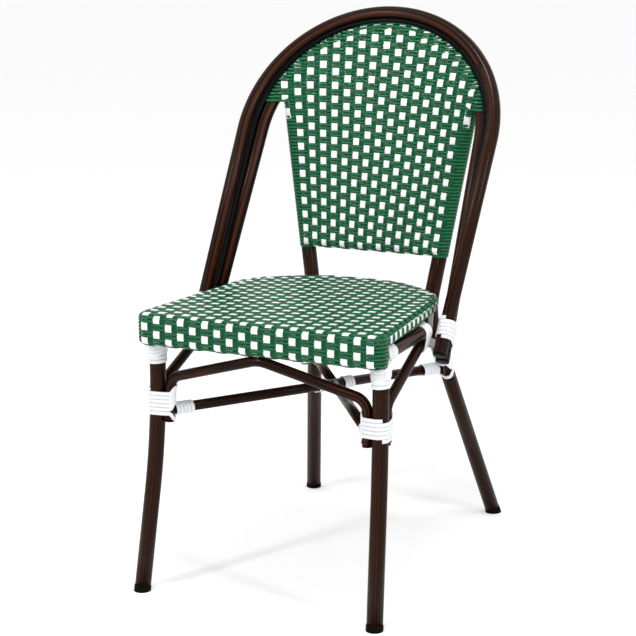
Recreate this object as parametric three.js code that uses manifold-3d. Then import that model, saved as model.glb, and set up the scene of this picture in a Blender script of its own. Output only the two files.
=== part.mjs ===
// Rattan bistro chair: bent tube frame, woven seat and back, strand bindings at the joints
// Millimetres. X runs to the right as seen from the front, Y to the back, Z up.
// The origin is on the floor, under the middle of the chair.

import * as THREE from 'three';
import { mergeVertices } from 'three/addons/utils/BufferGeometryUtils.js';
import Module from 'manifold-3d';

const wasm = await Module();
wasm.setup();

// Tubes
const legDiameter = 25;
const archDiameter = 22;
const railDiameter = 22;
const ringDiameter = 19;
const braceDiameter = 16;
const stretcherDiameter = 16;
const barDiameter = 16;

// Fits
const fitGap = 0.3;
const cutOverrun = 40;

// Woven strand layer and the flat strand of the bindings
const weaveThickness = 1.8;
const sheetThickness = 4;
const strandWidth = 5.6;
const strandThickness = 2;
const strandPitch = 6.2;
const strandGap = 0.5;

// Seat, seen from above: front corners, side corners and rear corners of its outline
const seatHeight = 443;
const seatFrontY = -293.5;
const seatFrontHalfWidth = 203.8;
const seatFrontCornerRadius = 30;
const seatSideHalfWidth = 177;
const seatSideY = 18;
const seatSideRadius = 118;
const seatRearHalfWidth = 88;
const seatRearY = 109.5;
const seatRearRadius = 196;
const hemRounding = 9;

// Front legs
const frontFootHalfSpacing = 196.7;
const frontFootY = -295.5;
const frontLegTopHalfSpacing = 186;
const frontLegTopY = -252.5;
const frontLegBendHeight = 250;
const frontLegBendRadius = 1100;

// Rear legs, each bent at the knee and running up as the back's upright
const rearFootHalfSpacing = 174.6;
const rearFootY = 295.1;
const kneeHalfSpacing = 103.6;
const kneeY = 146.6;
const kneeHeight = 382;
const kneeRadius = 130;
const uprightTopHeight = 760;

// Seat rail, bent to a U under the seat
const railHalfSpacing = 182;
const railFrontHalfSpacing = 186;
const railCornerRadius = 28;
const railBendY = -68;
const railBendRadius = 60;
const railJoinHeight = 404;

// Arch: a front tube and a rear tube, each with its own lean
const overallHeight = 880;
const archRadius = 219;
const archLeanDegrees = 31.9;
const archCrossingY = -58.5;
const archSideGap = 1.2;
const archEndHeight = 370;
const archTopDrop = 28.4;
const archTopForward = 3.8;
const archRadiusInset = 24;
const archEndSetback = 31;
const archEndInset = 5;
const fillerWidth = 10;
const fillerEndRecess = 2;

// Back panel
const backBottomHeight = 480;
const shoulderHeight = 722;
const shoulderCentreY = 183;
const bottomBarForward = 9;

// Braces under the seat
const braceEndRadius = 26;
const frontBraceApexRadius = 40;
const sideBraceApexRadius = 80;
const frontBraceApexY = -279;
const frontBraceBendHeight = 336;
const sideBraceApexY = -78;
const sideBraceFrontBendHeight = 326;
const sideBraceRearBendHeight = 328;
const sideBraceRearTurnDegrees = 30;
const braceEndHeight = 270;

// Cross stretchers
const stretcherHeight = 285;
const stretcherFrontHalfSpacing = 162.8;
const stretcherFrontY = -244;
const stretcherRearHalfSpacing = 112.5;
const stretcherRearY = 162.6;

// Bindings: number of turns, and where each starts
const legBindingTurns = 5;
const legBindingBottom = 280;
const legBindingTurnsBelow = 1;
const legTopBindingTurns = 5;
const railFrontBindingTurns = 3;
const railFrontBindingY = -235;
const railRearBindingTurns = 4;
const railRearBindingY = -96;
const archBindingTurns = 5;
const archBindingFromEnd = 26;
const stretcherBindingTurns = 3;
const stretcherBindingOffset = 8;
const crossingBindingTurns = 3;
const crossingBindingOffset = 12;
const bindingStepsPerTurn = 10;

// Plugs and glides
const plugFlangeThickness = 3;
const plugSpigotLength = 10;
const tubeWall = 2;
const glideHeight = 9;
const glideRim = 0.8;

// Facets
const tubeSides = 14;
const thinTubeSides = 10;
const chordTolerance = 0.3;
const archArcSteps = 22;
const archSleeveSteps = 14;
const fillerLegSteps = 4;
const bowColumns = 8;
const bowRows = 5;

// Colours
const brownLacquer = { color: 0x2b1208, roughness: 0.3, metalness: 0.2 };
const greenStrand = { color: 0x06512f, roughness: 0.4, metalness: 0 };
const whiteStrand = { color: 0xf1f3f2, roughness: 0.5, metalness: 0 };
const blackPlastic = { color: 0x0d0e10, roughness: 0.45, metalness: 0 };

// Radii that follow from the sizes above
const legRadius = legDiameter / 2;
const archTubeRadius = archDiameter / 2;
const railRadius = railDiameter / 2;
const ringRadius = ringDiameter / 2;
const braceRadius = braceDiameter / 2;
const stretcherRadius = stretcherDiameter / 2;
const barRadius = barDiameter / 2;
const weaveCover = fitGap + weaveThickness;
const hemThickness = ringDiameter + 2 * weaveCover;
const frontHemDepth = railDiameter + 2 * weaveCover;
const bindingHalfStep = Math.PI / bindingStepsPerTurn;
const bindingOuterRadius = (radius) => (radius + strandGap + strandThickness) / Math.cos(bindingHalfStep);

// Heights that follow: the seat's hem lies on the rail's bindings
const ringHeight = seatHeight - hemThickness / 2;
const railHeight = seatHeight - hemThickness - fitGap - bindingOuterRadius(railRadius);
const frontHemBottom = railHeight - railRadius - weaveCover;
const railFrontY = seatFrontY + weaveCover + railRadius;

const degrees = (value) => THREE.MathUtils.degToRad(value);
const point = (x, y, z) => new THREE.Vector3(x, y, z);
const along = (start, direction, distance) => start.clone().addScaledVector(direction, distance);
const heading = (from, to) => to.clone().sub(from).normalize();
const mixed = (a, b, share) => a.clone().lerp(b, share);

// A path given by stations, each a place and the direction in which the path runs there
class StationPath extends THREE.Curve {
  constructor(stations) {
    super();
    this.stations = stations;
  }

  between(share, key) {
    const last = this.stations.length - 1;
    const index = THREE.MathUtils.clamp(share * last, 0, last);
    const low = Math.min(Math.floor(index), last - 1);
    return mixed(this.stations[low][key], this.stations[low + 1][key], index - low);
  }

  getPoint(share) {
    return this.between(share, 'place');
  }

  getPointAt(share) {
    return this.between(share, 'place');
  }

  getTangent(share) {
    return this.between(share, 'tangent').normalize();
  }

  getTangentAt(share) {
    return this.between(share, 'tangent').normalize();
  }
}

// Straight runs between corner points, each corner rounded to its radius
function roundedRoute(corners, radii) {
  const stations = [{ place: corners[0], tangent: heading(corners[0], corners[1]) }];
  for (let i = 1; i < corners.length - 1; i += 1) {
    const into = heading(corners[i - 1], corners[i]);
    const out = heading(corners[i], corners[i + 1]);
    const turn = into.angleTo(out);
    const radius = radii[i - 1];
    const start = along(corners[i], into, -radius * Math.tan(turn / 2));
    const inward = along(out, into, -out.dot(into)).normalize();
    const steps = Math.max(2, Math.ceil(turn / (2 * Math.acos(1 - chordTolerance / radius))));
    for (let step = 0; step <= steps; step += 1) {
      const angle = (turn * step) / steps;
      const forward = along(start, into, radius * Math.sin(angle));
      stations.push({
        place: along(forward, inward, radius * (1 - Math.cos(angle))),
        tangent: into.clone().multiplyScalar(Math.cos(angle)).addScaledVector(inward, Math.sin(angle)),
      });
    }
  }
  const last = corners.length - 1;
  stations.push({ place: corners[last], tangent: heading(corners[last - 1], corners[last]) });
  return stations;
}

function roundSection(radius, sides) {
  const points = [];
  for (let i = 0; i < sides; i += 1) {
    const angle = (2 * Math.PI * i) / sides;
    points.push(new THREE.Vector2(radius * Math.cos(angle), radius * Math.sin(angle)));
  }
  return new THREE.Shape(points);
}

function tube(stations, radius, sides = tubeSides) {
  return new THREE.ExtrudeGeometry(roundSection(radius, sides), {
    steps: stations.length - 1,
    bevelEnabled: false,
    extrudePath: new StationPath(stations),
  });
}

function straightTube(from, to, radius, sides = thinTubeSides) {
  const direction = heading(from, to);
  return tube([{ place: from, tangent: direction }, { place: to, tangent: direction }], radius, sides);
}

// Solids for joining and cutting
function solid(geometry) {
  const bare = geometry.clone();
  bare.deleteAttribute('normal');
  bare.deleteAttribute('uv');
  const merged = mergeVertices(bare);
  return new wasm.Manifold(new wasm.Mesh({
    numProp: 3,
    vertProperties: new Float32Array(merged.attributes.position.array),
    triVerts: new Uint32Array(merged.index.array),
  }));
}

function geometryOf(body) {
  const mesh = body.getMesh();
  const geometry = new THREE.BufferGeometry();
  geometry.setAttribute('position', new THREE.BufferAttribute(mesh.vertProperties, 3));
  geometry.setIndex(new THREE.BufferAttribute(mesh.triVerts, 1));
  return geometry;
}

function cut(geometry, ...cutters) {
  return geometryOf(cutters.reduce((body, cutter) => body.subtract(solid(cutter)), solid(geometry)));
}

function joined(...geometries) {
  const [first, ...rest] = geometries.map(solid);
  return geometryOf(rest.reduce((body, other) => body.add(other), first));
}

function boxBetween(low, high) {
  const size = high.clone().sub(low);
  const middle = mixed(low, high, 1 / 2);
  return new THREE.BoxGeometry(size.x, size.y, size.z).translate(middle.x, middle.y, middle.z);
}

// Front legs: upright under the rail, then swept forward and out to the floor
function frontLegCorners(side) {
  return [
    point(side * frontLegTopHalfSpacing, frontLegTopY, railHeight),
    point(side * frontLegTopHalfSpacing, frontLegTopY, frontLegBendHeight),
    point(side * frontFootHalfSpacing, frontFootY, 0),
  ];
}

function frontLegRoute(side) {
  const corners = frontLegCorners(side);
  corners[2] = along(corners[2], heading(corners[2], corners[1]), glideHeight);
  return roundedRoute(corners, [frontLegBendRadius]);
}

// Rear legs and uprights: one tube a side, ending under the arch's rear tube
function rearLegCorners(side) {
  return [
    point(side * rearFootHalfSpacing, rearFootY, 0),
    point(side * kneeHalfSpacing, kneeY, kneeHeight),
    rearArchPlace(side, uprightTopHeight),
  ];
}

function rearLegRoute(side) {
  const corners = rearLegCorners(side);
  corners[0] = along(corners[0], heading(corners[0], corners[1]), glideHeight);
  return roundedRoute(corners, [kneeRadius]);
}

// Where a route passes a given height, with its direction there
function placeAtHeight(route, height) {
  for (let i = 1; i < route.length; i += 1) {
    const low = route[i - 1];
    const high = route[i];
    const share = (height - low.place.z) / (high.place.z - low.place.z);
    if (share >= 0 && share <= 1) {
      const direction = heading(low.place, high.place);
      return { place: mixed(low.place, high.place, share), tangent: direction.z < 0 ? direction.negate() : direction };
    }
  }
  throw new Error('the route does not pass the height');
}

// Arch: in its leaning plane, a half circle whose straight legs touch it
const archLean = degrees(archLeanDegrees);
const archUp = point(0, Math.sin(archLean), Math.cos(archLean));
const archBack = point(0, Math.cos(archLean), -Math.sin(archLean));
const archTopZ = overallHeight - archTubeRadius;
const archCentre = point(0, 0, archTopZ - archRadius * archUp.z);
archCentre.y = archCrossingY + (archCentre.z - railHeight) * Math.tan(archLean);
const archCrossingHalf = railHalfSpacing + bindingOuterRadius(railRadius) + archSideGap
  + bindingOuterRadius(archTubeRadius);

// The half circle's start angle, so that the leg line touches it and passes the given point
function touchAngle(radius, across, down) {
  return Math.atan2(-down, across) + Math.acos(radius / Math.hypot(across, down));
}

const frontArch = {
  centre: archCentre,
  up: archUp,
  radius: archRadius,
  start: touchAngle(archRadius, archCrossingHalf, (archCentre.z - railHeight) / archUp.z),
};

function legEnd(arch, side, height) {
  const across = Math.cos(arch.start) * arch.radius;
  const rise = Math.sin(arch.start) * arch.radius;
  const foot = along(arch.centre, arch.up, rise).add(point(side * across, 0, 0));
  const down = arch.up.clone().multiplyScalar(-Math.cos(arch.start));
  down.x = side * Math.sin(arch.start);
  return along(foot, down, (foot.z - height) / -down.z);
}

const frontEnd = legEnd(frontArch, 1, archEndHeight);
const rearEnd = along(frontEnd, archBack, archEndSetback);
rearEnd.x -= archEndInset;
const frontTop = along(archCentre, archUp, archRadius);
const rearTop = point(0, frontTop.y - archTopForward, frontTop.z - archTopDrop);
const rearUp = heading(point(0, rearEnd.y, rearEnd.z), rearTop);
const rearRadius = archRadius - archRadiusInset;
const rearCentre = along(rearTop, rearUp, -rearRadius);
const rearArch = {
  centre: rearCentre,
  up: rearUp,
  radius: rearRadius,
  start: touchAngle(rearRadius, rearEnd.x, (rearCentre.z - rearEnd.z) / rearUp.z),
};

function archStation(arch, angle) {
  const place = along(arch.centre, arch.up, arch.radius * Math.sin(angle));
  place.x = arch.radius * Math.cos(angle);
  const tangent = arch.up.clone().multiplyScalar(Math.cos(angle));
  tangent.x = -Math.sin(angle);
  return { place, tangent };
}

function archArc(arch, from, to, steps) {
  const stations = [];
  for (let step = 0; step <= steps; step += 1) {
    stations.push(archStation(arch, from + ((to - from) * step) / steps));
  }
  return stations;
}

function archRoute(arch, endHeight, endInset) {
  const arc = archArc(arch, arch.start, Math.PI - arch.start, archArcSteps);
  const last = arc[arc.length - 1];
  const rightEnd = along(legEnd(arch, 1, endHeight), arc[0].tangent, endInset);
  const leftEnd = along(legEnd(arch, -1, endHeight), last.tangent, -endInset);
  return [
    { place: rightEnd, tangent: arc[0].tangent },
    ...arc,
    { place: leftEnd, tangent: last.tangent },
  ];
}

// The rear tube's arc angle at a height, and its centre there
function rearArchAngle(height) {
  return Math.asin((height - rearCentre.z) / (rearRadius * rearUp.z));
}

function rearArchPlace(side, height) {
  const place = archStation(rearArch, rearArchAngle(height)).place;
  place.x *= side;
  return place;
}

// Filler strip between the two arch tubes, against the front one, with room for the weave behind it
function withLegSteps(route) {
  const legSteps = (from, to) => {
    const stations = [];
    for (let step = 1; step < fillerLegSteps; step += 1) {
      stations.push({ place: mixed(from.place, to.place, step / fillerLegSteps), tangent: from.tangent });
    }
    return stations;
  };
  const last = route.length - 1;
  return [
    route[0],
    ...legSteps(route[0], route[1]),
    ...route.slice(1, last),
    ...legSteps(route[last - 1], route[last]),
    route[last],
  ];
}

function fillerStrip() {
  const recess = plugFlangeThickness + fillerEndRecess;
  const front = withLegSteps(archRoute(frontArch, archEndHeight, recess));
  const rear = withLegSteps(archRoute(rearArch, rearEnd.z, recess));
  const rings = front.map(({ place, tangent }, i) => {
    const between = rear[i].place.clone().sub(place);
    const across = along(between, tangent, -between.dot(tangent));
    const spacing = across.length();
    across.normalize();
    const sideways = new THREE.Vector3().crossVectors(tangent, across);
    const near = archTubeRadius + 2 * fitGap;
    const far = spacing - archTubeRadius - weaveCover - 2 * fitGap;
    return [[near, -1], [far, -1], [far, 1], [near, 1]].map(([distance, edge]) => (
      along(along(place, across, distance), sideways, (edge * fillerWidth) / 2)
    ));
  });
  return ringLoft(rings);
}

// A closed body through a row of rings with equal numbers of points
function ringLoft(rings) {
  const positions = [];
  const index = [];
  const sides = rings[0].length;
  rings.forEach((ring) => ring.forEach((place) => positions.push(place.x, place.y, place.z)));
  for (let i = 0; i < rings.length - 1; i += 1) {
    for (let j = 0; j < sides; j += 1) {
      const a = i * sides + j;
      const b = i * sides + ((j + 1) % sides);
      index.push(a, b, b + sides, a, b + sides, a + sides);
    }
  }
  const last = (rings.length - 1) * sides;
  for (let j = 1; j < sides - 1; j += 1) {
    index.push(0, j + 1, j);
    index.push(last, last + j, last + j + 1);
  }
  const geometry = new THREE.BufferGeometry();
  geometry.setAttribute('position', new THREE.BufferAttribute(new Float32Array(positions), 3));
  geometry.setIndex(index);
  return geometry;
}

// Seat rail: a U from one rear leg round the front to the other
function railCorners() {
  return [
    point(-kneeHalfSpacing, kneeY, railHeight),
    point(-railHalfSpacing, railBendY, railHeight),
    point(-railFrontHalfSpacing, railFrontY, railHeight),
    point(railFrontHalfSpacing, railFrontY, railHeight),
    point(railHalfSpacing, railBendY, railHeight),
    point(kneeHalfSpacing, kneeY, railHeight),
  ];
}

const railRoute = roundedRoute(railCorners(), [
  railBendRadius, railCornerRadius, railCornerRadius, railBendRadius,
]);
const railSideStations = railRoute.findIndex(({ place }) => place.x > -railHalfSpacing / 2) - 1;

// Seat outline, drawn in from the edge by an inset; the front half-turn starts at the middle
function seatCorners(inset) {
  const outer = [
    new THREE.Vector2(seatFrontHalfWidth, seatFrontY),
    new THREE.Vector2(seatSideHalfWidth, seatSideY),
    new THREE.Vector2(seatRearHalfWidth, seatRearY),
    new THREE.Vector2(-seatRearHalfWidth, seatRearY),
    new THREE.Vector2(-seatSideHalfWidth, seatSideY),
    new THREE.Vector2(-seatFrontHalfWidth, seatFrontY),
  ];
  return outer.map((corner, i) => {
    const before = outer[(i + outer.length - 1) % outer.length];
    const after = outer[(i + 1) % outer.length];
    const into = corner.clone().sub(before).normalize();
    const out = after.clone().sub(corner).normalize();
    const bisector = new THREE.Vector2(-into.y - out.y, into.x + out.x).normalize();
    const reach = inset / (bisector.x * -into.y + bisector.y * into.x);
    return corner.clone().addScaledVector(bisector, reach);
  });
}

function seatHalfRoute(side, inset, height, overlap) {
  const [front, flank, rear] = seatCorners(inset);
  return roundedRoute([
    point(-side * overlap, front.y, height),
    point(side * front.x, front.y, height),
    point(side * flank.x, flank.y, height),
    point(side * rear.x, rear.y, height),
    point(-side * overlap, rear.y, height),
  ], [seatFrontCornerRadius - inset, seatSideRadius - inset, seatRearRadius - inset]);
}

function seatShape(inset) {
  const right = seatHalfRoute(1, inset, 0, 0).map(({ place }) => new THREE.Vector2(place.x, place.y));
  const left = seatHalfRoute(-1, inset, 0, 0).map(({ place }) => new THREE.Vector2(place.x, place.y));
  return new THREE.Shape([...right, ...left.reverse().slice(1, -1)]);
}

function seatRing(radius) {
  const halves = [1, -1].map((side) => (
    tube(seatHalfRoute(side, hemThickness / 2, ringHeight, fitGap), radius, thinTubeSides)
  ));
  return joined(...halves);
}

// A slab of the seat's outline with rounded edges, from one height to another
function roundedSlab(bottom, top) {
  return new THREE.ExtrudeGeometry(seatShape(hemRounding), {
    depth: top - bottom - 2 * hemRounding,
    bevelThickness: hemRounding,
    bevelSize: hemRounding,
    bevelSegments: 3,
  }).translate(0, 0, bottom + hemRounding);
}

// Woven seat: a sheet with a hem round the ring, and a deeper front that also takes in the rail
function seatWeave() {
  const frontInnerY = seatFrontY + frontHemDepth;
  const reach = seatFrontHalfWidth + cutOverrun;
  const frontBox = boxBetween(
    point(-reach, seatFrontY - cutOverrun, frontHemBottom - cutOverrun),
    point(reach, frontInnerY, seatHeight + cutOverrun),
  );
  const rearBox = boxBetween(
    point(-reach, frontInnerY, frontHemBottom - cutOverrun),
    point(reach, seatRearY + cutOverrun, seatHeight - sheetThickness),
  );
  const well = new THREE.ExtrudeGeometry(seatShape(hemThickness), {
    depth: seatHeight - sheetThickness - frontHemBottom + cutOverrun,
    bevelEnabled: false,
  }).translate(0, 0, frontHemBottom - cutOverrun);
  const passage = boxBetween(
    point(-railHalfSpacing / 2, railFrontY - fitGap, railHeight),
    point(railHalfSpacing / 2, railFrontY + fitGap, ringHeight),
  );
  const frontHem = solid(roundedSlab(frontHemBottom, seatHeight)).intersect(solid(frontBox));
  const slab = solid(roundedSlab(seatHeight - hemThickness, seatHeight)).add(frontHem);
  const open = slab.subtract(solid(well).intersect(solid(rearBox)));
  return geometryOf(open
    .subtract(solid(seatRing(ringRadius + fitGap)))
    .subtract(solid(tube(railRoute, railRadius + fitGap)))
    .subtract(solid(passage)));
}

// Back panel: the tubes that carry its edge, then a bowed sheet between them
function bottomBarEnds() {
  const height = backBottomHeight + barRadius + weaveCover;
  return [-1, 1].map((side) => {
    const { place } = placeAtHeight(rearLegRoute(side), height);
    return point(place.x, place.y - bottomBarForward, height);
  });
}

const shoulder = { z: shoulderHeight, y: shoulderCentreY };

function backEdge(height) {
  if (height < shoulderHeight) {
    const { place } = placeAtHeight(rearLegRoute(1), height);
    return { half: place.x, front: place.y - legRadius - weaveCover };
  }
  const place = rearArchPlace(1, height);
  return { half: place.x, front: place.y - archTubeRadius - weaveCover };
}

// The panel's middle leans back from the bottom bar to the top of the rear arch tube
function backMiddle(height) {
  const [low, high] = height < shoulderHeight
    ? [{ z: bottomBarEnds()[0].z, y: bottomBarEnds()[0].y - barRadius - weaveCover }, shoulder]
    : [shoulder, { z: rearTop.z, y: rearTop.y - archTubeRadius - weaveCover }];
  return THREE.MathUtils.mapLinear(height, low.z, high.z, low.y, high.y);
}

function backFront(share, height) {
  const { half, front } = backEdge(height);
  return point(share * half, THREE.MathUtils.lerp(backMiddle(height), front, share * share), height);
}

function backSheet(bottom, top) {
  const rings = [];
  for (let row = 0; row <= bowRows; row += 1) {
    const height = bottom + ((top - bottom) * row) / bowRows;
    const faces = [];
    for (let column = 0; column <= bowColumns; column += 1) {
      faces.push(backFront((2 * column) / bowColumns - 1, height));
    }
    const rear = faces.map((place) => point(place.x, place.y + sheetThickness, place.z));
    rings.push([...faces, ...rear.reverse()]);
  }
  return ringLoft(rings);
}

function uprightSpan(side, from, to, radius) {
  const route = rearLegRoute(side);
  const low = placeAtHeight(route, from);
  const high = placeAtHeight(route, to);
  return straightTube(low.place, high.place, radius, tubeSides);
}

function shoulderArc(radius, extra) {
  const start = rearArchAngle(shoulderHeight - extra);
  return tube(archArc(rearArch, start, Math.PI - start, archSleeveSteps), radius);
}

function backWeave() {
  const bar = bottomBarEnds();
  const uprightEnd = uprightTopHeight - archTubeRadius;
  const parts = [
    backSheet(backBottomHeight + barRadius, shoulderHeight - fitGap),
    backSheet(shoulderHeight, rearTop.z - fitGap),
    straightTube(bar[0], bar[1], barRadius + weaveCover),
    uprightSpan(-1, backBottomHeight, uprightEnd, legRadius + weaveCover),
    uprightSpan(1, backBottomHeight, uprightEnd, legRadius + weaveCover),
    shoulderArc(archTubeRadius + weaveCover, 0),
  ];
  return cut(
    joined(...parts),
    tube(rearLegRoute(-1), legRadius + fitGap),
    tube(rearLegRoute(1), legRadius + fitGap),
    tube(archRoute(rearArch, rearEnd.z, 0), archTubeRadius + fitGap),
    straightTube(bar[0], bar[1], barRadius + fitGap),
  );
}

// Brace ends run along a leg inside its binding
function legLine(route) {
  const middle = legBindingBottom + (legBindingTurns * strandPitch) / 2;
  return placeAtHeight(route, middle);
}

function besideLeg(line, facing, radius) {
  const outward = along(facing, line.tangent, -facing.dot(line.tangent)).normalize();
  return { place: along(line.place, outward, legRadius + fitGap + radius), tangent: line.tangent };
}

function onLine(line, height) {
  return along(line.place, line.tangent, (height - line.place.z) / line.tangent.z);
}

const frontLegLine = (side) => legLine(frontLegRoute(side));
const rearLegLine = (side) => legLine(rearLegRoute(side));
const frontBraceLine = (side) => besideLeg(frontLegLine(side), point(-side, 0, 0), braceRadius);
const sideBraceFrontLine = (side) => besideLeg(frontLegLine(side), point(0, 1, 0), braceRadius);
const sideBraceRearLine = (side) => {
  const turn = degrees(sideBraceRearTurnDegrees);
  return besideLeg(rearLegLine(side), point(side * Math.sin(turn), -Math.cos(turn), 0), braceRadius);
};

// The apex corner lies above the rounded tube, which just reaches what it carries
function apexCorner(before, after, touching, radius) {
  const corner = touching.clone();
  for (let pass = 0; pass < 4; pass += 1) {
    const turn = heading(before, corner).angleTo(heading(corner, after));
    corner.z = touching.z + radius * (1 / Math.cos(turn / 2) - 1);
  }
  return corner;
}

function frontBraceRoute() {
  const [leftLow, rightLow] = [-1, 1].map((side) => onLine(frontBraceLine(side), braceEndHeight));
  const [left, right] = [-1, 1].map((side) => onLine(frontBraceLine(side), frontBraceBendHeight));
  const touching = point(0, frontBraceApexY, frontHemBottom - fitGap - braceRadius);
  return roundedRoute(
    [leftLow, left, apexCorner(left, right, touching, frontBraceApexRadius), right, rightLow],
    [braceEndRadius, frontBraceApexRadius, braceEndRadius],
  );
}

function sideBraceRoute(side) {
  const frontLow = onLine(sideBraceFrontLine(side), braceEndHeight);
  const front = onLine(sideBraceFrontLine(side), sideBraceFrontBendHeight);
  const rear = onLine(sideBraceRearLine(side), sideBraceRearBendHeight);
  const rearLow = onLine(sideBraceRearLine(side), braceEndHeight);
  const touching = point(side * railHalfSpacing, sideBraceApexY, railHeight - railRadius - fitGap - braceRadius);
  return roundedRoute(
    [frontLow, front, apexCorner(front, rear, touching, sideBraceApexRadius), rear, rearLow],
    [braceEndRadius, sideBraceApexRadius, braceEndRadius],
  );
}

// Cross stretchers: the long one is whole, the other is in two halves that meet it
function stretcherEnds(side) {
  return [
    point(-side * stretcherFrontHalfSpacing, stretcherFrontY, stretcherHeight),
    point(side * stretcherRearHalfSpacing, stretcherRearY, stretcherHeight),
  ];
}

function stretcherCrossing() {
  const [front, rear] = stretcherEnds(1);
  return mixed(front, rear, front.x / (front.x - rear.x));
}

function stretcherTube(side, from, to, radius) {
  return straightTube(from, to, radius, thinTubeSides);
}

function longReach(side) {
  const [front, rear] = stretcherEnds(side);
  const direction = heading(front, rear);
  return [along(front, direction, -braceDiameter), along(rear, direction, legDiameter)];
}

function endCutters(side) {
  return [
    tube(frontBraceRoute(), braceRadius + fitGap, thinTubeSides),
    tube(frontLegRoute(-side), legRadius + fitGap),
    tube(rearLegRoute(side), legRadius + fitGap),
    tube(sideBraceRoute(side), braceRadius + fitGap, thinTubeSides),
  ];
}

// Keep only the piece of a cut tube that holds a given point
function pieceNear(geometry, place) {
  const pieces = solid(geometry).decompose();
  const gaps = pieces.map((piece) => {
    const { min, max } = piece.boundingBox();
    const box = new THREE.Box3(new THREE.Vector3(...min), new THREE.Vector3(...max));
    return box.distanceToPoint(place);
  });
  return geometryOf(pieces[gaps.indexOf(Math.min(...gaps))]);
}

function longStretcher() {
  const [from, to] = longReach(1);
  const whole = cut(straightTube(from, to, stretcherRadius), ...endCutters(1));
  return pieceNear(whole, stretcherCrossing());
}

function halfStretcher(end) {
  const [front, rear] = longReach(-1);
  const centre = stretcherCrossing();
  const long = longReach(1);
  const outer = end === 'front' ? front : rear;
  const cutters = [...endCutters(-1), straightTube(long[0], long[1], stretcherRadius + fitGap)];
  const half = cut(straightTube(outer, centre, stretcherRadius), ...cutters);
  return pieceNear(half, mixed(outer, centre, 1 / 2));
}

// Where a route, its ends drawn out, passes a level across an axis, and how much wider it is cut there
function crossingAtRise(route, origin, axis, rise) {
  const levels = route.map(({ place }) => place.clone().sub(origin).dot(axis));
  const last = levels.length - 1;
  const sign = Math.sign(levels[last] - levels[0]);
  const passed = levels.findIndex((level) => sign * level > sign * rise);
  const high = passed < 0 ? last : Math.max(passed, 1);
  const share = (rise - levels[high - 1]) / (levels[high] - levels[high - 1]);
  const run = route[high].place.clone().sub(route[high - 1].place);
  return { centre: along(route[high - 1].place, run, share), stretch: run.length() / Math.abs(run.dot(axis)) };
}

// Bindings: one flat strand wound round its members, each loop a belt round them all.
// Where a tube comes in from the side, the loops part and pass above and below it.
const bindingGaps = [];

function binding({ line, members, facing, turns, start, parting = null, turnsBelow = 0 }) {
  const axis = line.tangent;
  const ahead = along(facing, axis, -facing.dot(axis)).normalize();
  const sideways = new THREE.Vector3().crossVectors(axis, ahead);
  const toward = (angle) => (
    ahead.clone().multiplyScalar(Math.cos(angle)).addScaledVector(sideways, Math.sin(angle))
  );
  const stepRise = strandPitch / bindingStepsPerTurn;
  const rings = [];
  for (let i = 0; i <= turns * bindingStepsPerTurn; i += 1) {
    const turn = Math.min(Math.floor(i / bindingStepsPerTurn), turns - 1);
    const angle = Math.PI + (2 * Math.PI * i) / bindingStepsPerTurn;
    let rise = start + stepRise * i;
    if (parting) {
      const edge = parting.radius + strandGap + strandWidth / 2 + 2 * stepRise;
      const boundary = start + strandPitch * (turnsBelow + 1 / 2);
      const shift = turn < turnsBelow
        ? Math.min(0, parting.rise - edge - (boundary - strandPitch))
        : Math.max(0, parting.rise + edge - boundary);
      rise += shift * THREE.MathUtils.smoothstep(Math.cos(angle), -1 / 2, 1 / 2);
    }
    const inner = beltCorner(line, members, rise, angle, toward, strandGap);
    const outer = beltCorner(line, members, rise, angle, toward, strandGap + strandThickness);
    rings.push([
      along(inner, axis, -strandWidth / 2),
      along(inner, axis, strandWidth / 2),
      along(outer, axis, strandWidth / 2),
      along(outer, axis, -strandWidth / 2),
    ]);
  }
  bindingGaps.push(leastOwnGap(rings));
  return ringLoft(rings);
}

// How far the members reach one way, at any height that the strand covers
function memberReach({ place, tangent }, members, rise, away) {
  const edges = [rise - strandWidth / 2, rise, rise + strandWidth / 2];
  return Math.max(...members.flatMap(({ route, radius }) => edges.map((edge) => {
    const { centre, stretch } = crossingAtRise(route, place, tangent, edge);
    return centre.sub(place).dot(away) + radius * stretch;
  })));
}

// Corner of the belt round the members: where its sides just before and after an angle meet
function beltCorner(line, members, rise, angle, toward, cover) {
  const before = memberReach(line, members, rise, toward(angle - bindingHalfStep)) + cover;
  const after = memberReach(line, members, rise, toward(angle + bindingHalfStep)) + cover;
  const out = (before + after) / (2 * Math.cos(bindingHalfStep));
  const round = (after - before) / (2 * Math.sin(bindingHalfStep));
  const level = along(line.place, line.tangent, rise);
  return along(along(level, toward(angle), out), toward(angle + Math.PI / 2), round);
}

// Least gap between points of the strand that lie more than half a turn apart on it
function leastOwnGap(rings) {
  let least = Infinity;
  const apart = bindingStepsPerTurn / 2;
  rings.forEach((ring, i) => {
    rings.slice(i + apart).forEach((other) => {
      ring.forEach((a) => other.forEach((b) => {
        least = Math.min(least, a.distanceTo(b));
      }));
    });
  });
  return least;
}

function stretcherSide(side, atFront) {
  const [front, rear] = stretcherEnds(-side * (atFront ? 1 : -1));
  return atFront ? heading(front, rear) : heading(rear, front);
}

// The half of a brace that starts at one of its ends
function halfRoute(route, fromStart) {
  const half = Math.ceil(route.length / 2);
  return fromStart ? route.slice(0, half) : route.slice(-half);
}

// Where the stretcher comes through the loops, seen along the leg
function stretcherParting(line, facing, reach) {
  const place = onLine(line, stretcherHeight).addScaledVector(facing, reach);
  return { radius: stretcherRadius / line.tangent.z, rise: place.sub(line.place).dot(line.tangent) };
}

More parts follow.
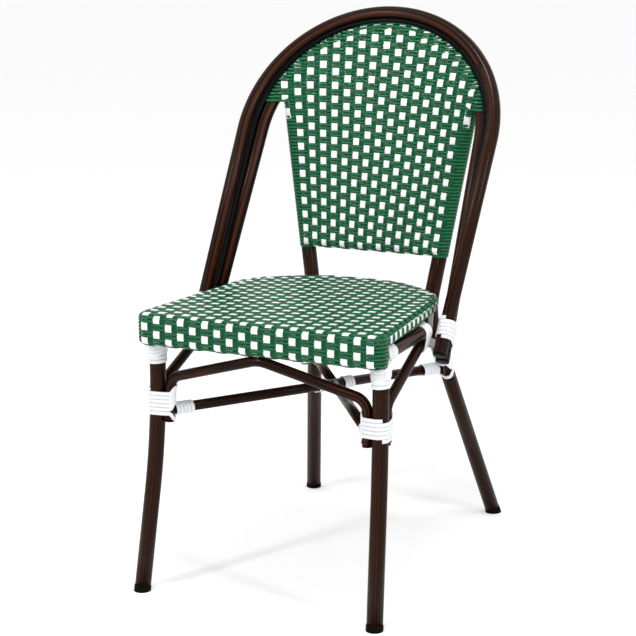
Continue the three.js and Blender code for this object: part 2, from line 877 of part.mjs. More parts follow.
function frontLegBinding(side) {
  const line = frontLegLine(side);
  const facing = stretcherSide(side, true);
  return binding({
    line,
    members: [
      { route: frontLegRoute(side), radius: legRadius },
      { route: halfRoute(frontBraceRoute(), side < 0), radius: braceRadius },
      { route: halfRoute(sideBraceRoute(side), true), radius: braceRadius },
    ],
    facing,
    turns: legBindingTurns,
    start: (-legBindingTurns * strandPitch) / 2,
    parting: stretcherParting(line, facing, braceDiameter),
    turnsBelow: legBindingTurnsBelow,
  });
}

function rearLegBinding(side) {
  const line = rearLegLine(side);
  const facing = stretcherSide(side, false);
  return binding({
    line,
    members: [
      { route: rearLegRoute(side), radius: legRadius },
      { route: halfRoute(sideBraceRoute(side), false), radius: braceRadius },
    ],
    facing,
    turns: legBindingTurns,
    start: (-legBindingTurns * strandPitch) / 2,
    parting: stretcherParting(line, facing, bindingOuterRadius(legRadius)),
    turnsBelow: legBindingTurnsBelow,
  });
}

function legTopBinding(side) {
  const top = point(side * frontLegTopHalfSpacing, frontLegTopY, frontHemBottom - fitGap);
  const line = { place: top, tangent: point(0, 0, 1) };
  return binding({
    line,
    members: [{ route: frontLegRoute(side), radius: legRadius }],
    facing: point(0, -1, 0),
    turns: legTopBindingTurns,
    start: -strandWidth / 2 - legTopBindingTurns * strandPitch,
  });
}

function railBinding(side, y, turns, others) {
  const line = { place: point(side * railHalfSpacing, y, railHeight), tangent: point(0, 1, 0) };
  const half = side < 0 ? railRoute.slice(0, railSideStations) : railRoute.slice(-railSideStations);
  return binding({
    line,
    members: [{ route: half, radius: railRadius }, ...others],
    facing: point(0, 0, -1),
    turns,
    start: strandWidth / 2,
  });
}

function archLeg(arch, side, height) {
  const low = legEnd(arch, side, height);
  const high = legEnd(arch, side, height + cutOverrun);
  return [{ place: low, tangent: heading(low, high) }, { place: high, tangent: heading(low, high) }];
}

function archBinding(side) {
  const front = archLeg(frontArch, side, archEndHeight);
  const rear = archLeg(rearArch, side, rearEnd.z);
  return binding({
    line: front[0],
    members: [{ route: front, radius: archTubeRadius }, { route: rear, radius: archTubeRadius }],
    facing: point(0, 1, 0),
    turns: archBindingTurns,
    start: archBindingFromEnd + strandWidth / 2,
  });
}

function stretcherBinding(from, to, offset, turns) {
  const line = { place: from, tangent: heading(from, to) };
  const route = [line, { place: to, tangent: line.tangent }];
  return binding({
    line,
    members: [{ route, radius: stretcherRadius }],
    facing: point(0, 0, 1),
    turns,
    start: offset + strandWidth / 2,
  });
}

// Plugs close the open tube ends: a flange on the end and a spigot inside the wall
function spigotRadius(radius) {
  return (radius - tubeWall) * Math.cos(Math.PI / thinTubeSides) - fitGap;
}

function plugProfile(radius) {
  const spigot = spigotRadius(radius);
  return [
    new THREE.Vector2(0, -plugFlangeThickness),
    new THREE.Vector2(radius - fitGap, -plugFlangeThickness),
    new THREE.Vector2(radius - fitGap, 0),
    new THREE.Vector2(spigot, 0),
    new THREE.Vector2(spigot, plugSpigotLength),
    new THREE.Vector2(0, plugSpigotLength),
  ];
}

function turned(profile, place, direction) {
  const turn = new THREE.Quaternion().setFromUnitVectors(point(0, 1, 0), direction);
  return new THREE.LatheGeometry(profile, thinTubeSides)
    .applyQuaternion(turn)
    .translate(place.x, place.y, place.z);
}

// The socket that a plug or a glide fits, cut into a tube's end
function socket(place, inward, radius) {
  const from = along(place, inward, -fitGap);
  const to = along(place, inward, plugSpigotLength + 2 * fitGap);
  return straightTube(from, to, radius - tubeWall, thinTubeSides);
}

function plug(place, inward, radius) {
  return turned(plugProfile(radius), along(place, inward, -fitGap), inward);
}

// Glides: rubber caps on the leg ends, cut level by the floor
function glide(corners) {
  const [foot, next] = corners;
  const inward = heading(foot, next);
  const spigot = spigotRadius(legRadius);
  const rim = legRadius + glideRim;
  const profile = [
    new THREE.Vector2(0, -glideHeight),
    new THREE.Vector2(rim, -glideHeight),
    new THREE.Vector2(rim, glideHeight - fitGap),
    new THREE.Vector2(spigot, glideHeight - fitGap),
    new THREE.Vector2(spigot, glideHeight + plugSpigotLength),
    new THREE.Vector2(0, glideHeight + plugSpigotLength),
  ];
  const below = boxBetween(
    point(foot.x - cutOverrun, foot.y - cutOverrun, -cutOverrun),
    point(foot.x + cutOverrun, foot.y + cutOverrun, 0),
  );
  return cut(turned(profile, foot, inward), below);
}

function withSockets(geometry, stations, radius) {
  const last = stations.length - 1;
  const start = stations[0];
  const end = stations[last];
  return cut(
    geometry,
    socket(start.place, start.tangent, radius),
    socket(end.place, end.tangent.clone().negate(), radius),
  );
}

// Assembly
const chair = new THREE.Group();
const sides = { left: -1, right: 1 };

function add(name, geometry, finish) {
  const mesh = new THREE.Mesh(geometry, new THREE.MeshStandardMaterial(finish));
  mesh.name = name;
  chair.add(mesh);
}

function addLegs(name, side) {
  const frontRoute = frontLegRoute(side);
  const rearRoute = rearLegRoute(side);
  const frontFoot = frontRoute[frontRoute.length - 1];
  add(`front_leg_${name}`, cut(
    tube(frontRoute, legRadius),
    tube(railRoute, railRadius + fitGap),
    socket(frontFoot.place, frontFoot.tangent.clone().negate(), legRadius),
  ), brownLacquer);
  add(`rear_leg_${name}`, pieceNear(cut(
    tube(rearRoute, legRadius),
    tube(archRoute(rearArch, rearEnd.z, 0), archTubeRadius + fitGap),
    socket(rearRoute[0].place, rearRoute[0].tangent, legRadius),
  ), point(side * kneeHalfSpacing, kneeY, kneeHeight)), brownLacquer);
  add(`front_glide_${name}`, glide([...frontLegCorners(side)].reverse()), blackPlastic);
  add(`rear_glide_${name}`, glide(rearLegCorners(side)), blackPlastic);
}

function addArch() {
  const frontRoute = archRoute(frontArch, archEndHeight, plugFlangeThickness);
  const rearRoute = archRoute(rearArch, rearEnd.z, plugFlangeThickness);
  add('arch_front_tube', withSockets(tube(frontRoute, archTubeRadius), frontRoute, archTubeRadius), brownLacquer);
  add('arch_rear_tube', withSockets(tube(rearRoute, archTubeRadius), rearRoute, archTubeRadius), brownLacquer);
  add('arch_filler_strip', fillerStrip(), blackPlastic);
  const last = frontRoute.length - 1;
  const ends = { right: [0, 1], left: [last, -1] };
  Object.entries(ends).forEach(([name, [i, sign]]) => {
    const routes = { front: frontRoute[i], rear: rearRoute[i] };
    Object.entries(routes).forEach(([which, { place, tangent }]) => {
      const inward = tangent.clone().multiplyScalar(sign);
      add(`arch_${which}_plug_${name}`, plug(place, inward, archTubeRadius), blackPlastic);
    });
  });
}

function addSeat() {
  const cutters = ['left', 'right'].map((name) => tube(rearLegRoute(sides[name]), legRadius + fitGap));
  add('seat_rail', pieceNear(
    cut(tube(railRoute, railRadius), ...cutters),
    point(0, railFrontY, railHeight),
  ), brownLacquer);
  add('seat_ring', seatRing(ringRadius), brownLacquer);
  add('seat_weave', seatWeave(), greenStrand);
}

function addBack() {
  const bar = bottomBarEnds();
  const cutters = ['left', 'right'].map((name) => tube(rearLegRoute(sides[name]), legRadius + fitGap));
  add('back_bottom_bar', pieceNear(
    cut(straightTube(bar[0], bar[1], barRadius), ...cutters),
    mixed(bar[0], bar[1], 1 / 2),
  ), brownLacquer);
  add('back_weave', backWeave(), greenStrand);
}

function addPlugs(name, stations) {
  const last = stations.length - 1;
  add(`${name}_plug_a`, plug(stations[0].place, stations[0].tangent, braceRadius), blackPlastic);
  const inward = stations[last].tangent.clone().negate();
  add(`${name}_plug_b`, plug(stations[last].place, inward, braceRadius), blackPlastic);
}

function addBraces() {
  const routes = {
    front_brace: frontBraceRoute(),
    side_brace_left: sideBraceRoute(-1),
    side_brace_right: sideBraceRoute(1),
  };
  Object.entries(routes).forEach(([name, route]) => {
    add(name, withSockets(tube(route, braceRadius, thinTubeSides), route, braceRadius), brownLacquer);
    addPlugs(name, route);
  });
  add('cross_stretcher_long', longStretcher(), brownLacquer);
  add('cross_stretcher_half_front', halfStretcher('front'), brownLacquer);
  add('cross_stretcher_half_rear', halfStretcher('rear'), brownLacquer);
}

function addBindings(name, side) {
  add(`binding_front_leg_${name}`, frontLegBinding(side), whiteStrand);
  add(`binding_rear_leg_${name}`, rearLegBinding(side), whiteStrand);
  add(`binding_leg_top_${name}`, legTopBinding(side), whiteStrand);
  add(
    `binding_rail_front_${name}`,
    railBinding(side, railFrontBindingY, railFrontBindingTurns, []),
    whiteStrand,
  );
  const sideBrace = { route: sideBraceRoute(side), radius: braceRadius };
  add(
    `binding_rail_rear_${name}`,
    railBinding(side, railRearBindingY, railRearBindingTurns, [sideBrace]),
    whiteStrand,
  );
  add(`binding_arch_${name}`, archBinding(side), whiteStrand);
  const [front, rear] = stretcherEnds(-side);
  const [, ownRear] = stretcherEnds(side);
  add(
    `binding_stretcher_front_${name}`,
    stretcherBinding(front, rear, stretcherBindingOffset, stretcherBindingTurns),
    whiteStrand,
  );
  add(
    `binding_stretcher_rear_${name}`,
    stretcherBinding(ownRear, stretcherCrossing(), stretcherBindingOffset, stretcherBindingTurns),
    whiteStrand,
  );
}

function addCrossingBindings() {
  const centre = stretcherCrossing();
  const [front, rear] = stretcherEnds(1);
  add(
    'binding_crossing_front',
    stretcherBinding(centre, front, crossingBindingOffset, crossingBindingTurns),
    whiteStrand,
  );
  add(
    'binding_crossing_rear',
    stretcherBinding(centre, rear, crossingBindingOffset, crossingBindingTurns),
    whiteStrand,
  );
}

Object.entries(sides).forEach(([name, side]) => addLegs(name, side));
addArch();
addSeat();
addBack();
addBraces();
Object.entries(sides).forEach(([name, side]) => addBindings(name, side));
addCrossingBindings();

console.log(`least gap inside a binding: ${Math.min(...bindingGaps).toFixed(2)} mm`);

export default chair;
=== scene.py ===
# Looks of the rattan bistro chair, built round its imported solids.
# Sizes are in millimetres, as in the solids, and become metres when a mesh is placed.

import math

import bmesh
import bpy
import numpy as np
from mathutils import Matrix, Vector


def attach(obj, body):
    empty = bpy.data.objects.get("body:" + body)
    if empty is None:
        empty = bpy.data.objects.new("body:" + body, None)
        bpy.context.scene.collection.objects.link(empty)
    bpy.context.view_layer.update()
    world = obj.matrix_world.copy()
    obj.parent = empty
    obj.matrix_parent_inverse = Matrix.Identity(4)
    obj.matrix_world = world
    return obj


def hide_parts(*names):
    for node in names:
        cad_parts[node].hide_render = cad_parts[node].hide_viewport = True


MM = 0.001
FULL_TURN = 2 * math.pi
SIDES = {"left": -1, "right": 1}

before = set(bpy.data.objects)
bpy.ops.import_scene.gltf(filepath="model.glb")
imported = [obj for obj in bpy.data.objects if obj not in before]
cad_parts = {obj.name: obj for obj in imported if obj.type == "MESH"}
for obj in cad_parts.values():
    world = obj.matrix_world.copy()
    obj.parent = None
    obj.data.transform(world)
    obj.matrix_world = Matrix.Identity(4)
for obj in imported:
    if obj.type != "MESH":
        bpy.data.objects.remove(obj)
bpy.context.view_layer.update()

# Tubes
LEG_RADIUS = 12.5
ARCH_TUBE_RADIUS = 11
RAIL_RADIUS = 11
BRACE_RADIUS = 8
STRETCHER_RADIUS = 8
BAR_RADIUS = 8
FIT_GAP = 0.3

# Seat outline: x, y and radius of its corners; the front ones are tighter than in the solids
SEAT_HEIGHT = 443
SEAT_FRONT_Y = -293.5
SEAT_OUTLINE = [(206, -293.5, 20), (177, 18, 118), (88, 109.5, 196)]
HEM_ROUNDING = 9
HEM_THICKNESS = 23.2

# Routes, as in the solids
FRONT_FOOT = Vector((196.7, -295.5, 0))
FRONT_LEG_TOP = (186, -252.5)
FRONT_LEG_BEND_HEIGHT = 250
FRONT_LEG_BEND_RADIUS = 1100
FRONT_LEG_BEND_STEP = math.radians(0.5)
REAR_FOOT = Vector((174.6, 295.1, 0))
KNEE = Vector((103.6, 146.6, 382))
KNEE_RADIUS = 130
UPRIGHT_TOP_HEIGHT = 760
RAIL_HALF_SPACING = 182
RAIL_FRONT_HALF_SPACING = 186
RAIL_CORNER_RADIUS = 28
RAIL_BEND_Y = -68
RAIL_BEND_RADIUS = 60
OVERALL_HEIGHT = 880
ARCH_RADIUS = 219
ARCH_LEAN = math.radians(31.9)
ARCH_CROSSING_Y = -58.5
ARCH_SIDE_GAP = 1.2
ARCH_END_HEIGHT = 370
ARCH_TOP_DROP = 28.4
ARCH_TOP_FORWARD = 3.8
ARCH_RADIUS_INSET = 24
ARCH_END_SETBACK = 31
ARCH_END_INSET = 5
BACK_BOTTOM_HEIGHT = 480
SHOULDER_HEIGHT = 722
SHOULDER_CENTRE_Y = 183
SHOULDER_SHEET_SETBACK = 2
BOTTOM_BAR_FORWARD = 9
BRACE_END_RADIUS = 26
FRONT_BRACE_APEX_RADIUS = 40
SIDE_BRACE_APEX_RADIUS = 80
FRONT_BRACE_APEX_Y = -279
FRONT_BRACE_BEND_HEIGHTS = (336, 336)
SIDE_BRACE_APEX_Y = -78
SIDE_BRACE_BEND_HEIGHTS = (326, 328)
SIDE_BRACE_REAR_TURN = math.radians(30)
BRACE_END_HEIGHT = 270
APEX_PASSES = 4
STRETCHER_HEIGHT = 285
STRETCHER_FRONT = (162.8, -244)
STRETCHER_REAR = (112.5, 162.6)

# Filler strip, wider than in the solids and sunk into both tubes
FILLER_WIDTH = 17
FILLER_END_RECESS = 2
FILLER_SINK = 3
FILLER_SIDES = 20
FILLER_SQUARENESS = 0.75

# Bindings, as in the solids
STRAND_WIDTH = 5.6
STRAND_THICKNESS = 2
STRAND_PITCH = 6.2
STRAND_GAP = 0.5
STRAND_SQUARENESS = 0.5
STRAND_SQUARE_SIDES = 12
CAD_BELT_HALF_STEP = math.pi / 10
LEG_BINDING_TURNS = 5
LEG_BINDING_BOTTOM = 280
BELT_STEPS = 30
RAIL_BINDINGS = {"front": (-235, 3), "rear": (-96, 4)}
ARCH_BINDING_START = 26
ARCH_BINDING_TURNS = 5
STRETCHER_BINDING_TURNS = 3
LEG_STRETCHER_BINDING = {"offset": 8, "more": 2}
CROSSING_BINDING_OFFSET = 12
BINDING_HALF_WIDTH = STRAND_WIDTH / 2 + 0.1
PARTING_TURNS = 1.5
PARTING_CLEARANCE = 2 * STRAND_PITCH / 10
PARTING_BLEND = (-0.5, 0.5)
ARCH_LEG_SAMPLE = 40

# Strands that cross over the rail: lean, y on the rail and lowest height on the leg
LEG_TOP_CROSSINGS = [
    (1, -240, 371), (1, -235, 377), (1, -230, 383), (-1, -262, 372), (-1, -257, 379),
]
CROSSING_LEG_REACH = 15.9
CROSSING_RAIL_REACH = 12.4
CROSSING_RAIL_INSET = 0.7
CROSSING_PLACES = 61
CROSSING_SMOOTHING = 6

# Plugs and glides
PLUG_FLANGE = 3
PLUG_STEM_INSET = 2.5
PLUG_STEM_LENGTH = 6
PLUG_STEM_STEP = 0.2
GLIDE_HEIGHT = 9
GLIDE_RIM = 0.8
GLIDE_STEM = 3
BEVELLED_ANGLE = 1
SHARP_ANGLE = 0.7

# Facets
TUBE_SIDES = 28
BEND_STEP = math.radians(3)
STRAND_SIDES = 8

# Weave: half sizes of the strands, and how far each swings about the middle of the sheet
FLAT_HALF_THICKNESS = 0.5
FLAT_SQUARENESS = 0.45
FLAT_SIDES = 10
FLAT_SWING = 0.55
CORD_HALF_WIDTH = 2.72
CORD_HALF_THICKNESS = 0.95
CORD_SWING = 0.95
SHEET_LIFT = 1.95
WEAVE_COVER = 2.1
WHITE_SHARE = 0.275
GREEN_SHARE = 0.195
GREEN_OFFSET_SHARE = 0.5
PAIR_CENTRE_SHARE = 0.215
PLACES_A_ROW = 5

# Back
BACK_ROW_PITCH = 11.33
BACK_ROW_ORIGIN = 646.9
BACK_COLUMN_PITCH = 19.2
BACK_COLUMN_SPREAD = 0.0166
BACK_LAST_ROW = 17
SHOULDER_COLUMN = 8
SHOULDER_COLUMN_BOTTOM = 692
SHOULDER_ROW_HEIGHT = 697
SHOULDER_COLUMN_RISE = (697.5, 700.5)
BACK_LAST_SHARES = (0.78, 0.36)
BACK_LAST_BLEND = 4
BACK_CORD_STEP = 3.2
EDGE_WRAP = math.radians(315)
EDGE_STEPS = 33
EDGE_START_PASSES = 6
EDGE_START_LEAST_X = 20
ARCH_CORD_REACH = 52
ARCH_CORD_HIGHEST_SHARE = 0.95
ARCH_TOP_HALF_WIDTH = 62
TUCK_RUN = 5
TUCKED_LIFT = 0.55
BAR_WRAP = math.radians(200)
BAR_STRAND_WRAP = math.radians(215)
BAR_STRAND_STEPS = 20
BAR_CORD_REACH = 119
BAR_CORD_PLACES = 76
BOW_POWER = 2
BAR_BOW_POWER = 28
BAR_BOW_FADE = (4, 30)
SHOULDER_BOW_HEIGHTS = (690, 755)
SHOULDER_FLOW = ((680, 700), (745, 765))
SHOULDER_FLOW_POWER = 6
ARCH_REST_LIFT = 0.4
EDGE_REST_SWING = -0.85
ARCH_SETTLED_LIFT = 1.25
EDGE_SETTLED_LIFT = 1.0
ARCH_SETTLING_TURN = 1.2
ARCH_CORD_PLACES = 37
ARCH_ROWS_START = 2
ARCH_WAVE_END = 4
ARCH_WHITES_END = (4, 7)
OVER_ARCH_STARTS = (math.radians(8), math.radians(-25))
OVER_ARCH_END = math.radians(195)
OVER_ARCH_PLACES = 17
SHOULDER_COLUMN_LIFT = -1.3
SLEEVE_TURNS = (math.radians(-95), math.radians(250))
SLEEVE_PLACES = 28

# Seat
SEAT_ROW_PITCH = 11.4
SEAT_ROW_START = -0.1
SEAT_COLUMN_PITCH = 20.6
SEAT_COLUMN_CLOSING = 1.7
SEAT_CLOSING_START_Y = -285
SEAT_CLOSING_DEPTH = 330
SEAT_LAST_COLUMN = 9
SEAT_LAST_COLUMN_INSET = 5.5
SEAT_LAST_COLUMN_END_Y = 40
SEAT_FRONT_ROWS = 7
SEAT_CORD_STEP = 3.3
FRONT_CORD_STEP = 3.0
FRONT_LAST_SHARES = (9.7, 9.35)
SIDE_GREEN_HALF_WIDTH = 3.8
RIM = 9.0
SHEET_DEPTH = 1.5
HEM_STEP = 2.3
HEM_ARC_PLACES = 7
HEM_INNER_ARC_PLACES = 6
HEM_INNER_DROP = 3
SEAT_CLOSING_END_SHARE = 1.2
SLANT_LEAST_SHARE = 0.45
RIM_CLEARANCE = 0.5
RIM_SEARCH_REACH = 40
REAR_SEARCH_REACH = 90
SIDE_SEARCH_X = 300
SEAT_STRAND_END_Y = 130
SEAT_STRAND_AIM_PLACES = 6
FRONT_FACE_END_INSET = 1.5
REAR_HEM_LIFT = -0.9
REAR_HEM_RUN = 6
SIDE_TAIL_RUNS = (10, 18)
SIDE_TAIL_LIFT = -0.5
FRONT_CORD_END_Y = -268
FRONT_CORD_TAIL = ((-0.3, -263.0), (-6, -258.0))
FRONT_REST_LIFT = 0.1
FRONT_REST_RUN = (-6, 2)
SIDE_STRAND_START_Y = -290
SIDE_STRAND_END_X = 60
SIDE_STRAND_RISE = (20, 27)
SIDE_STRAND_START_LIFT = -2.2


# Points and routes
def point(x, y, z):
    return Vector((x, y, z))


def along(start, direction, distance):
    return start + direction * distance


def heading(start, end):
    return (end - start).normalized()


def smooth_share(value, low, high):
    share = np.clip((value - low) / (high - low), 0, 1)
    return share * share * (3 - 2 * share)


def rounded_route(corners, radii, step=BEND_STEP):
    """Straight runs between corners, each corner rounded; a list of places and directions."""
    stations = [(corners[0], heading(corners[0], corners[1]))]
    for i, radius in enumerate(radii, start=1):
        into = heading(corners[i - 1], corners[i])
        out = heading(corners[i], corners[i + 1])
        turn = into.angle(out)
        start = along(corners[i], into, -radius * math.tan(turn / 2))
        inward = (out - into * out.dot(into)).normalized()
        steps = max(2, math.ceil(turn / step))
        for k in range(steps + 1):
            angle = turn * k / steps
            place = along(start, into, radius * math.sin(angle))
            place = along(place, inward, radius * (1 - math.cos(angle)))
            stations.append((place, into * math.cos(angle) + inward * math.sin(angle)))
    stations.append((corners[-1], heading(corners[-2], corners[-1])))
    return stations


def place_at_height(route, height):
    for (low, _), (high, _) in zip(route, route[1:]):
        share = (height - low.z) / (high.z - low.z) if high.z != low.z else -1
        if 0 <= share <= 1:
            direction = heading(low, high)
            return low.lerp(high, share), direction if direction.z > 0 else -direction
    raise ValueError("the route does not pass the height")


def on_line(line, height):
    place, tangent = line
    return along(place, tangent, (height - place.z) / tangent.z)


def belt_radius(radius):
    return (radius + STRAND_GAP + STRAND_THICKNESS) / math.cos(CAD_BELT_HALF_STEP)


RAIL_HEIGHT = SEAT_HEIGHT - HEM_THICKNESS - FIT_GAP - belt_radius(RAIL_RADIUS)
FRONT_HEM_BOTTOM = RAIL_HEIGHT - RAIL_RADIUS - WEAVE_COVER
RAIL_FRONT_Y = SEAT_FRONT_Y + WEAVE_COVER + RAIL_RADIUS


# Arch
class Arch:
    """A half circle in a leaning plane, with straight legs that touch it."""

    def __init__(self, centre, up, radius, across, height):
        self.centre, self.up, self.radius = centre, up, radius
        down = (centre.z - height) / up.z
        self.start = math.atan2(-down, across) + math.acos(radius / math.hypot(across, down))

    def station(self, angle):
        place = along(self.centre, self.up, self.radius * math.sin(angle))
        place.x = self.radius * math.cos(angle)
        tangent = self.up * math.cos(angle)
        tangent.x = -math.sin(angle)
        return place, tangent

    def leg_end(self, side, height):
        place, _ = self.station(self.start)
        place.x *= side
        down = self.up * -math.cos(self.start)
        down.x = side * math.sin(self.start)
        return along(place, down, (place.z - height) / -down.z)

    def route(self, end_height, inset, steps=64):
        span = math.pi - 2 * self.start
        arc = [self.station(self.start + span * k / steps) for k in range(steps + 1)]
        right = along(self.leg_end(1, end_height), arc[0][1], inset)
        left = along(self.leg_end(-1, end_height), arc[-1][1], -inset)
        return [(right, arc[0][1]), *arc, (left, arc[-1][1])]


arch_up = point(0, math.sin(ARCH_LEAN), math.cos(ARCH_LEAN))
arch_back = point(0, math.cos(ARCH_LEAN), -math.sin(ARCH_LEAN))
arch_centre = point(0, 0, OVERALL_HEIGHT - ARCH_TUBE_RADIUS - ARCH_RADIUS * arch_up.z)
arch_centre.y = ARCH_CROSSING_Y + (arch_centre.z - RAIL_HEIGHT) * math.tan(ARCH_LEAN)
arch_crossing_half = (
    RAIL_HALF_SPACING + belt_radius(RAIL_RADIUS) + ARCH_SIDE_GAP + belt_radius(ARCH_TUBE_RADIUS)
)
front_arch = Arch(arch_centre, arch_up, ARCH_RADIUS, arch_crossing_half, RAIL_HEIGHT)
rear_end = along(front_arch.leg_end(1, ARCH_END_HEIGHT), arch_back, ARCH_END_SETBACK)
rear_end.x -= ARCH_END_INSET
front_top = along(arch_centre, arch_up, ARCH_RADIUS)
rear_top = point(0, front_top.y - ARCH_TOP_FORWARD, front_top.z - ARCH_TOP_DROP)
rear_up = heading(point(0, rear_end.y, rear_end.z), rear_top)
rear_back = point(0, rear_up.z, -rear_up.y)
REAR_RADIUS = ARCH_RADIUS - ARCH_RADIUS_INSET
rear_centre = along(rear_top, rear_up, -REAR_RADIUS)
rear_arch = Arch(rear_centre, rear_up, REAR_RADIUS, rear_end.x, rear_end.z)
arches = {"front": (front_arch, ARCH_END_HEIGHT), "rear": (rear_arch, rear_end.z)}


def arch_route(which, inset):
    arch, end_height = arches[which]
    return arch.route(end_height, inset)


def rear_arch_place(side, height):
    angle = math.asin((height - rear_centre.z) / (REAR_RADIUS * rear_up.z))
    place, _ = rear_arch.station(angle)
    place.x *= side
    return place


# Legs and rail
def mirrored(place, side):
    return point(side * place.x, place.y, place.z)


def front_leg_corners(side):
    x, y = FRONT_LEG_TOP
    levels = (RAIL_HEIGHT, FRONT_LEG_BEND_HEIGHT)
    return [*(point(side * x, y, level) for level in levels), mirrored(FRONT_FOOT, side)]


def rear_leg_corners(side):
    top = rear_arch_place(side, UPRIGHT_TOP_HEIGHT)
    return [mirrored(REAR_FOOT, side), mirrored(KNEE, side), top]


def leg_route(corners, foot, radius, step=BEND_STEP):
    """A leg's line, cut off at the top of its glide; foot is the index of its lowest corner."""
    corners[foot] = along(corners[foot], heading(corners[foot], corners[1]), GLIDE_HEIGHT)
    return rounded_route(corners, [radius], step)


def front_leg_route(side):
    return leg_route(front_leg_corners(side), 2, FRONT_LEG_BEND_RADIUS, FRONT_LEG_BEND_STEP)


def rear_leg_route(side):
    return leg_route(rear_leg_corners(side), 0, KNEE_RADIUS)


def rail_corners(side):
    half = [
        (KNEE.x, KNEE.y), (RAIL_HALF_SPACING, RAIL_BEND_Y), (RAIL_FRONT_HALF_SPACING, RAIL_FRONT_Y),
    ]
    return [point(side * x, y, RAIL_HEIGHT) for x, y in half]


rail_route = rounded_route(
    [*rail_corners(-1), *rail_corners(1)[::-1]],
    [RAIL_BEND_RADIUS, RAIL_CORNER_RADIUS, RAIL_CORNER_RADIUS, RAIL_BEND_RADIUS],
)


# Braces and stretchers
def leg_line(route):
    return place_at_height(route, LEG_BINDING_BOTTOM + LEG_BINDING_TURNS * STRAND_PITCH / 2)


def beside_leg(route, facing):
    """The line of a brace's end, against a leg on the side that faces a way."""
    place, tangent = leg_line(route)
    outward = (facing - tangent * facing.dot(tangent)).normalized()
    return along(place, outward, LEG_RADIUS + FIT_GAP + BRACE_RADIUS), tangent


def brace_route(first, last, bend_heights, touching, apex_radius):
    """A brace between two lines; its apex touches what the brace holds up."""
    before, after = (on_line(line, height) for line, height in zip((first, last), bend_heights))
    apex = touching.copy()
    for _ in range(APEX_PASSES):
        turn = heading(before, apex).angle(heading(apex, after))
        apex.z = touching.z + apex_radius * (1 / math.cos(turn / 2) - 1)
    ends = [on_line(line, BRACE_END_HEIGHT) for line in (first, last)]
    radii = [BRACE_END_RADIUS, apex_radius, BRACE_END_RADIUS]
    return rounded_route([ends[0], before, apex, after, ends[1]], radii)


def front_brace_route():
    lines = [beside_leg(front_leg_route(side), point(-side, 0, 0)) for side in (-1, 1)]
    touching = point(0, FRONT_BRACE_APEX_Y, FRONT_HEM_BOTTOM - FIT_GAP - BRACE_RADIUS)
    return brace_route(*lines, FRONT_BRACE_BEND_HEIGHTS, touching, FRONT_BRACE_APEX_RADIUS)


def side_brace_route(side):
    turn = SIDE_BRACE_REAR_TURN
    front = beside_leg(front_leg_route(side), point(0, 1, 0))
    rear = beside_leg(rear_leg_route(side), point(side * math.sin(turn), -math.cos(turn), 0))
    height = RAIL_HEIGHT - RAIL_RADIUS - FIT_GAP - BRACE_RADIUS
    touching = point(side * RAIL_HALF_SPACING, SIDE_BRACE_APEX_Y, height)
    return brace_route(front, rear, SIDE_BRACE_BEND_HEIGHTS, touching, SIDE_BRACE_APEX_RADIUS)


def stretcher_ends(side):
    (front_x, front_y), (rear_x, rear_y) = STRETCHER_FRONT, STRETCHER_REAR
    front = point(-side * front_x, front_y, STRETCHER_HEIGHT)
    return front, point(side * rear_x, rear_y, STRETCHER_HEIGHT)


def stretcher_crossing():
    front, rear = stretcher_ends(1)
    return front.lerp(rear, front.x / (front.x - rear.x))


# Meshes: a straight tube is drawn by an operator, then laid along a row of places
straight_tubes = {}


def mesh_from(bm, name):
    mesh = bpy.data.meshes.new(name)
    bm.to_mesh(mesh)
    bm.free()
    return mesh


def fill_holes(bm):
    bmesh.ops.holes_fill(bm, edges=[e for e in bm.edges if e.is_boundary], sides=0)
    bmesh.ops.recalc_face_normals(bm, faces=bm.faces[:])


def straight_tube(steps, sides):
    if (steps, sides) in straight_tubes:
        return straight_tubes[steps, sides]
    bm = bmesh.new()
    bmesh.ops.create_circle(bm, cap_ends=False, segments=sides, radius=1)
    bmesh.ops.spin(
        bm, geom=bm.edges[:], cent=(0, 0, 0), axis=(0, 0, 1), dvec=(0, 0, 1), angle=0,
        steps=steps, use_duplicate=False,
    )
    walls = set(bm.faces)
    fill_holes(bm)
    layer = bm.loops.layers.uv.new("along")
    for face in bm.faces:
        face.smooth = face in walls
        middle = face.calc_center_median()
        for loop in face.loops:
            co = loop.vert.co
            around = math.atan2(co.y, co.x) / FULL_TURN
            if face.smooth:
                centre = math.atan2(middle.y, middle.x) / FULL_TURN
                around += round(centre - around)
            loop[layer].uv = (co.z, around)
    straight_tubes[steps, sides] = mesh_from(bm, "straight_tube")
    return straight_tubes[steps, sides]


def unit(rows):
    return rows / np.maximum(np.linalg.norm(rows, axis=1, keepdims=True), 1e-9)


def run_lengths(rows):
    return np.concatenate([[0], np.cumsum(np.linalg.norm(np.diff(rows, axis=0), axis=1))])


def laid_tube(places, sideways, outward, half_width, half_thickness, sides, squareness=1.0):
    """A straight tube laid along places; its section turns with sideways and outward."""
    mesh = straight_tube(len(places) - 1, sides).copy()
    co = np.empty(len(mesh.vertices) * 3, np.float32)
    mesh.vertices.foreach_get("co", co)
    co = co.reshape(-1, 3).astype(float)
    at = np.rint(co[:, 2]).astype(int)
    section = np.sign(co[:, :2]) * np.abs(co[:, :2]) ** squareness
    width, thickness = (np.broadcast_to(v, len(places))[at] for v in (half_width, half_thickness))
    laid = (
        places[at]
        + sideways[at] * (section[:, 0] * width)[:, None]
        + outward[at] * (section[:, 1] * thickness)[:, None]
    )
    mesh.vertices.foreach_set("co", (laid * MM).astype(np.float32).ravel())
    layer = mesh.uv_layers["along"]
    uv = np.empty(len(mesh.loops) * 2, np.float32)
    layer.uv.foreach_get("vector", uv)
    uv = uv.reshape(-1, 2)
    uv[:, 0] = (run_lengths(places) * MM)[np.rint(uv[:, 0]).astype(int)]
    layer.uv.foreach_set("vector", uv.ravel())
    return mesh


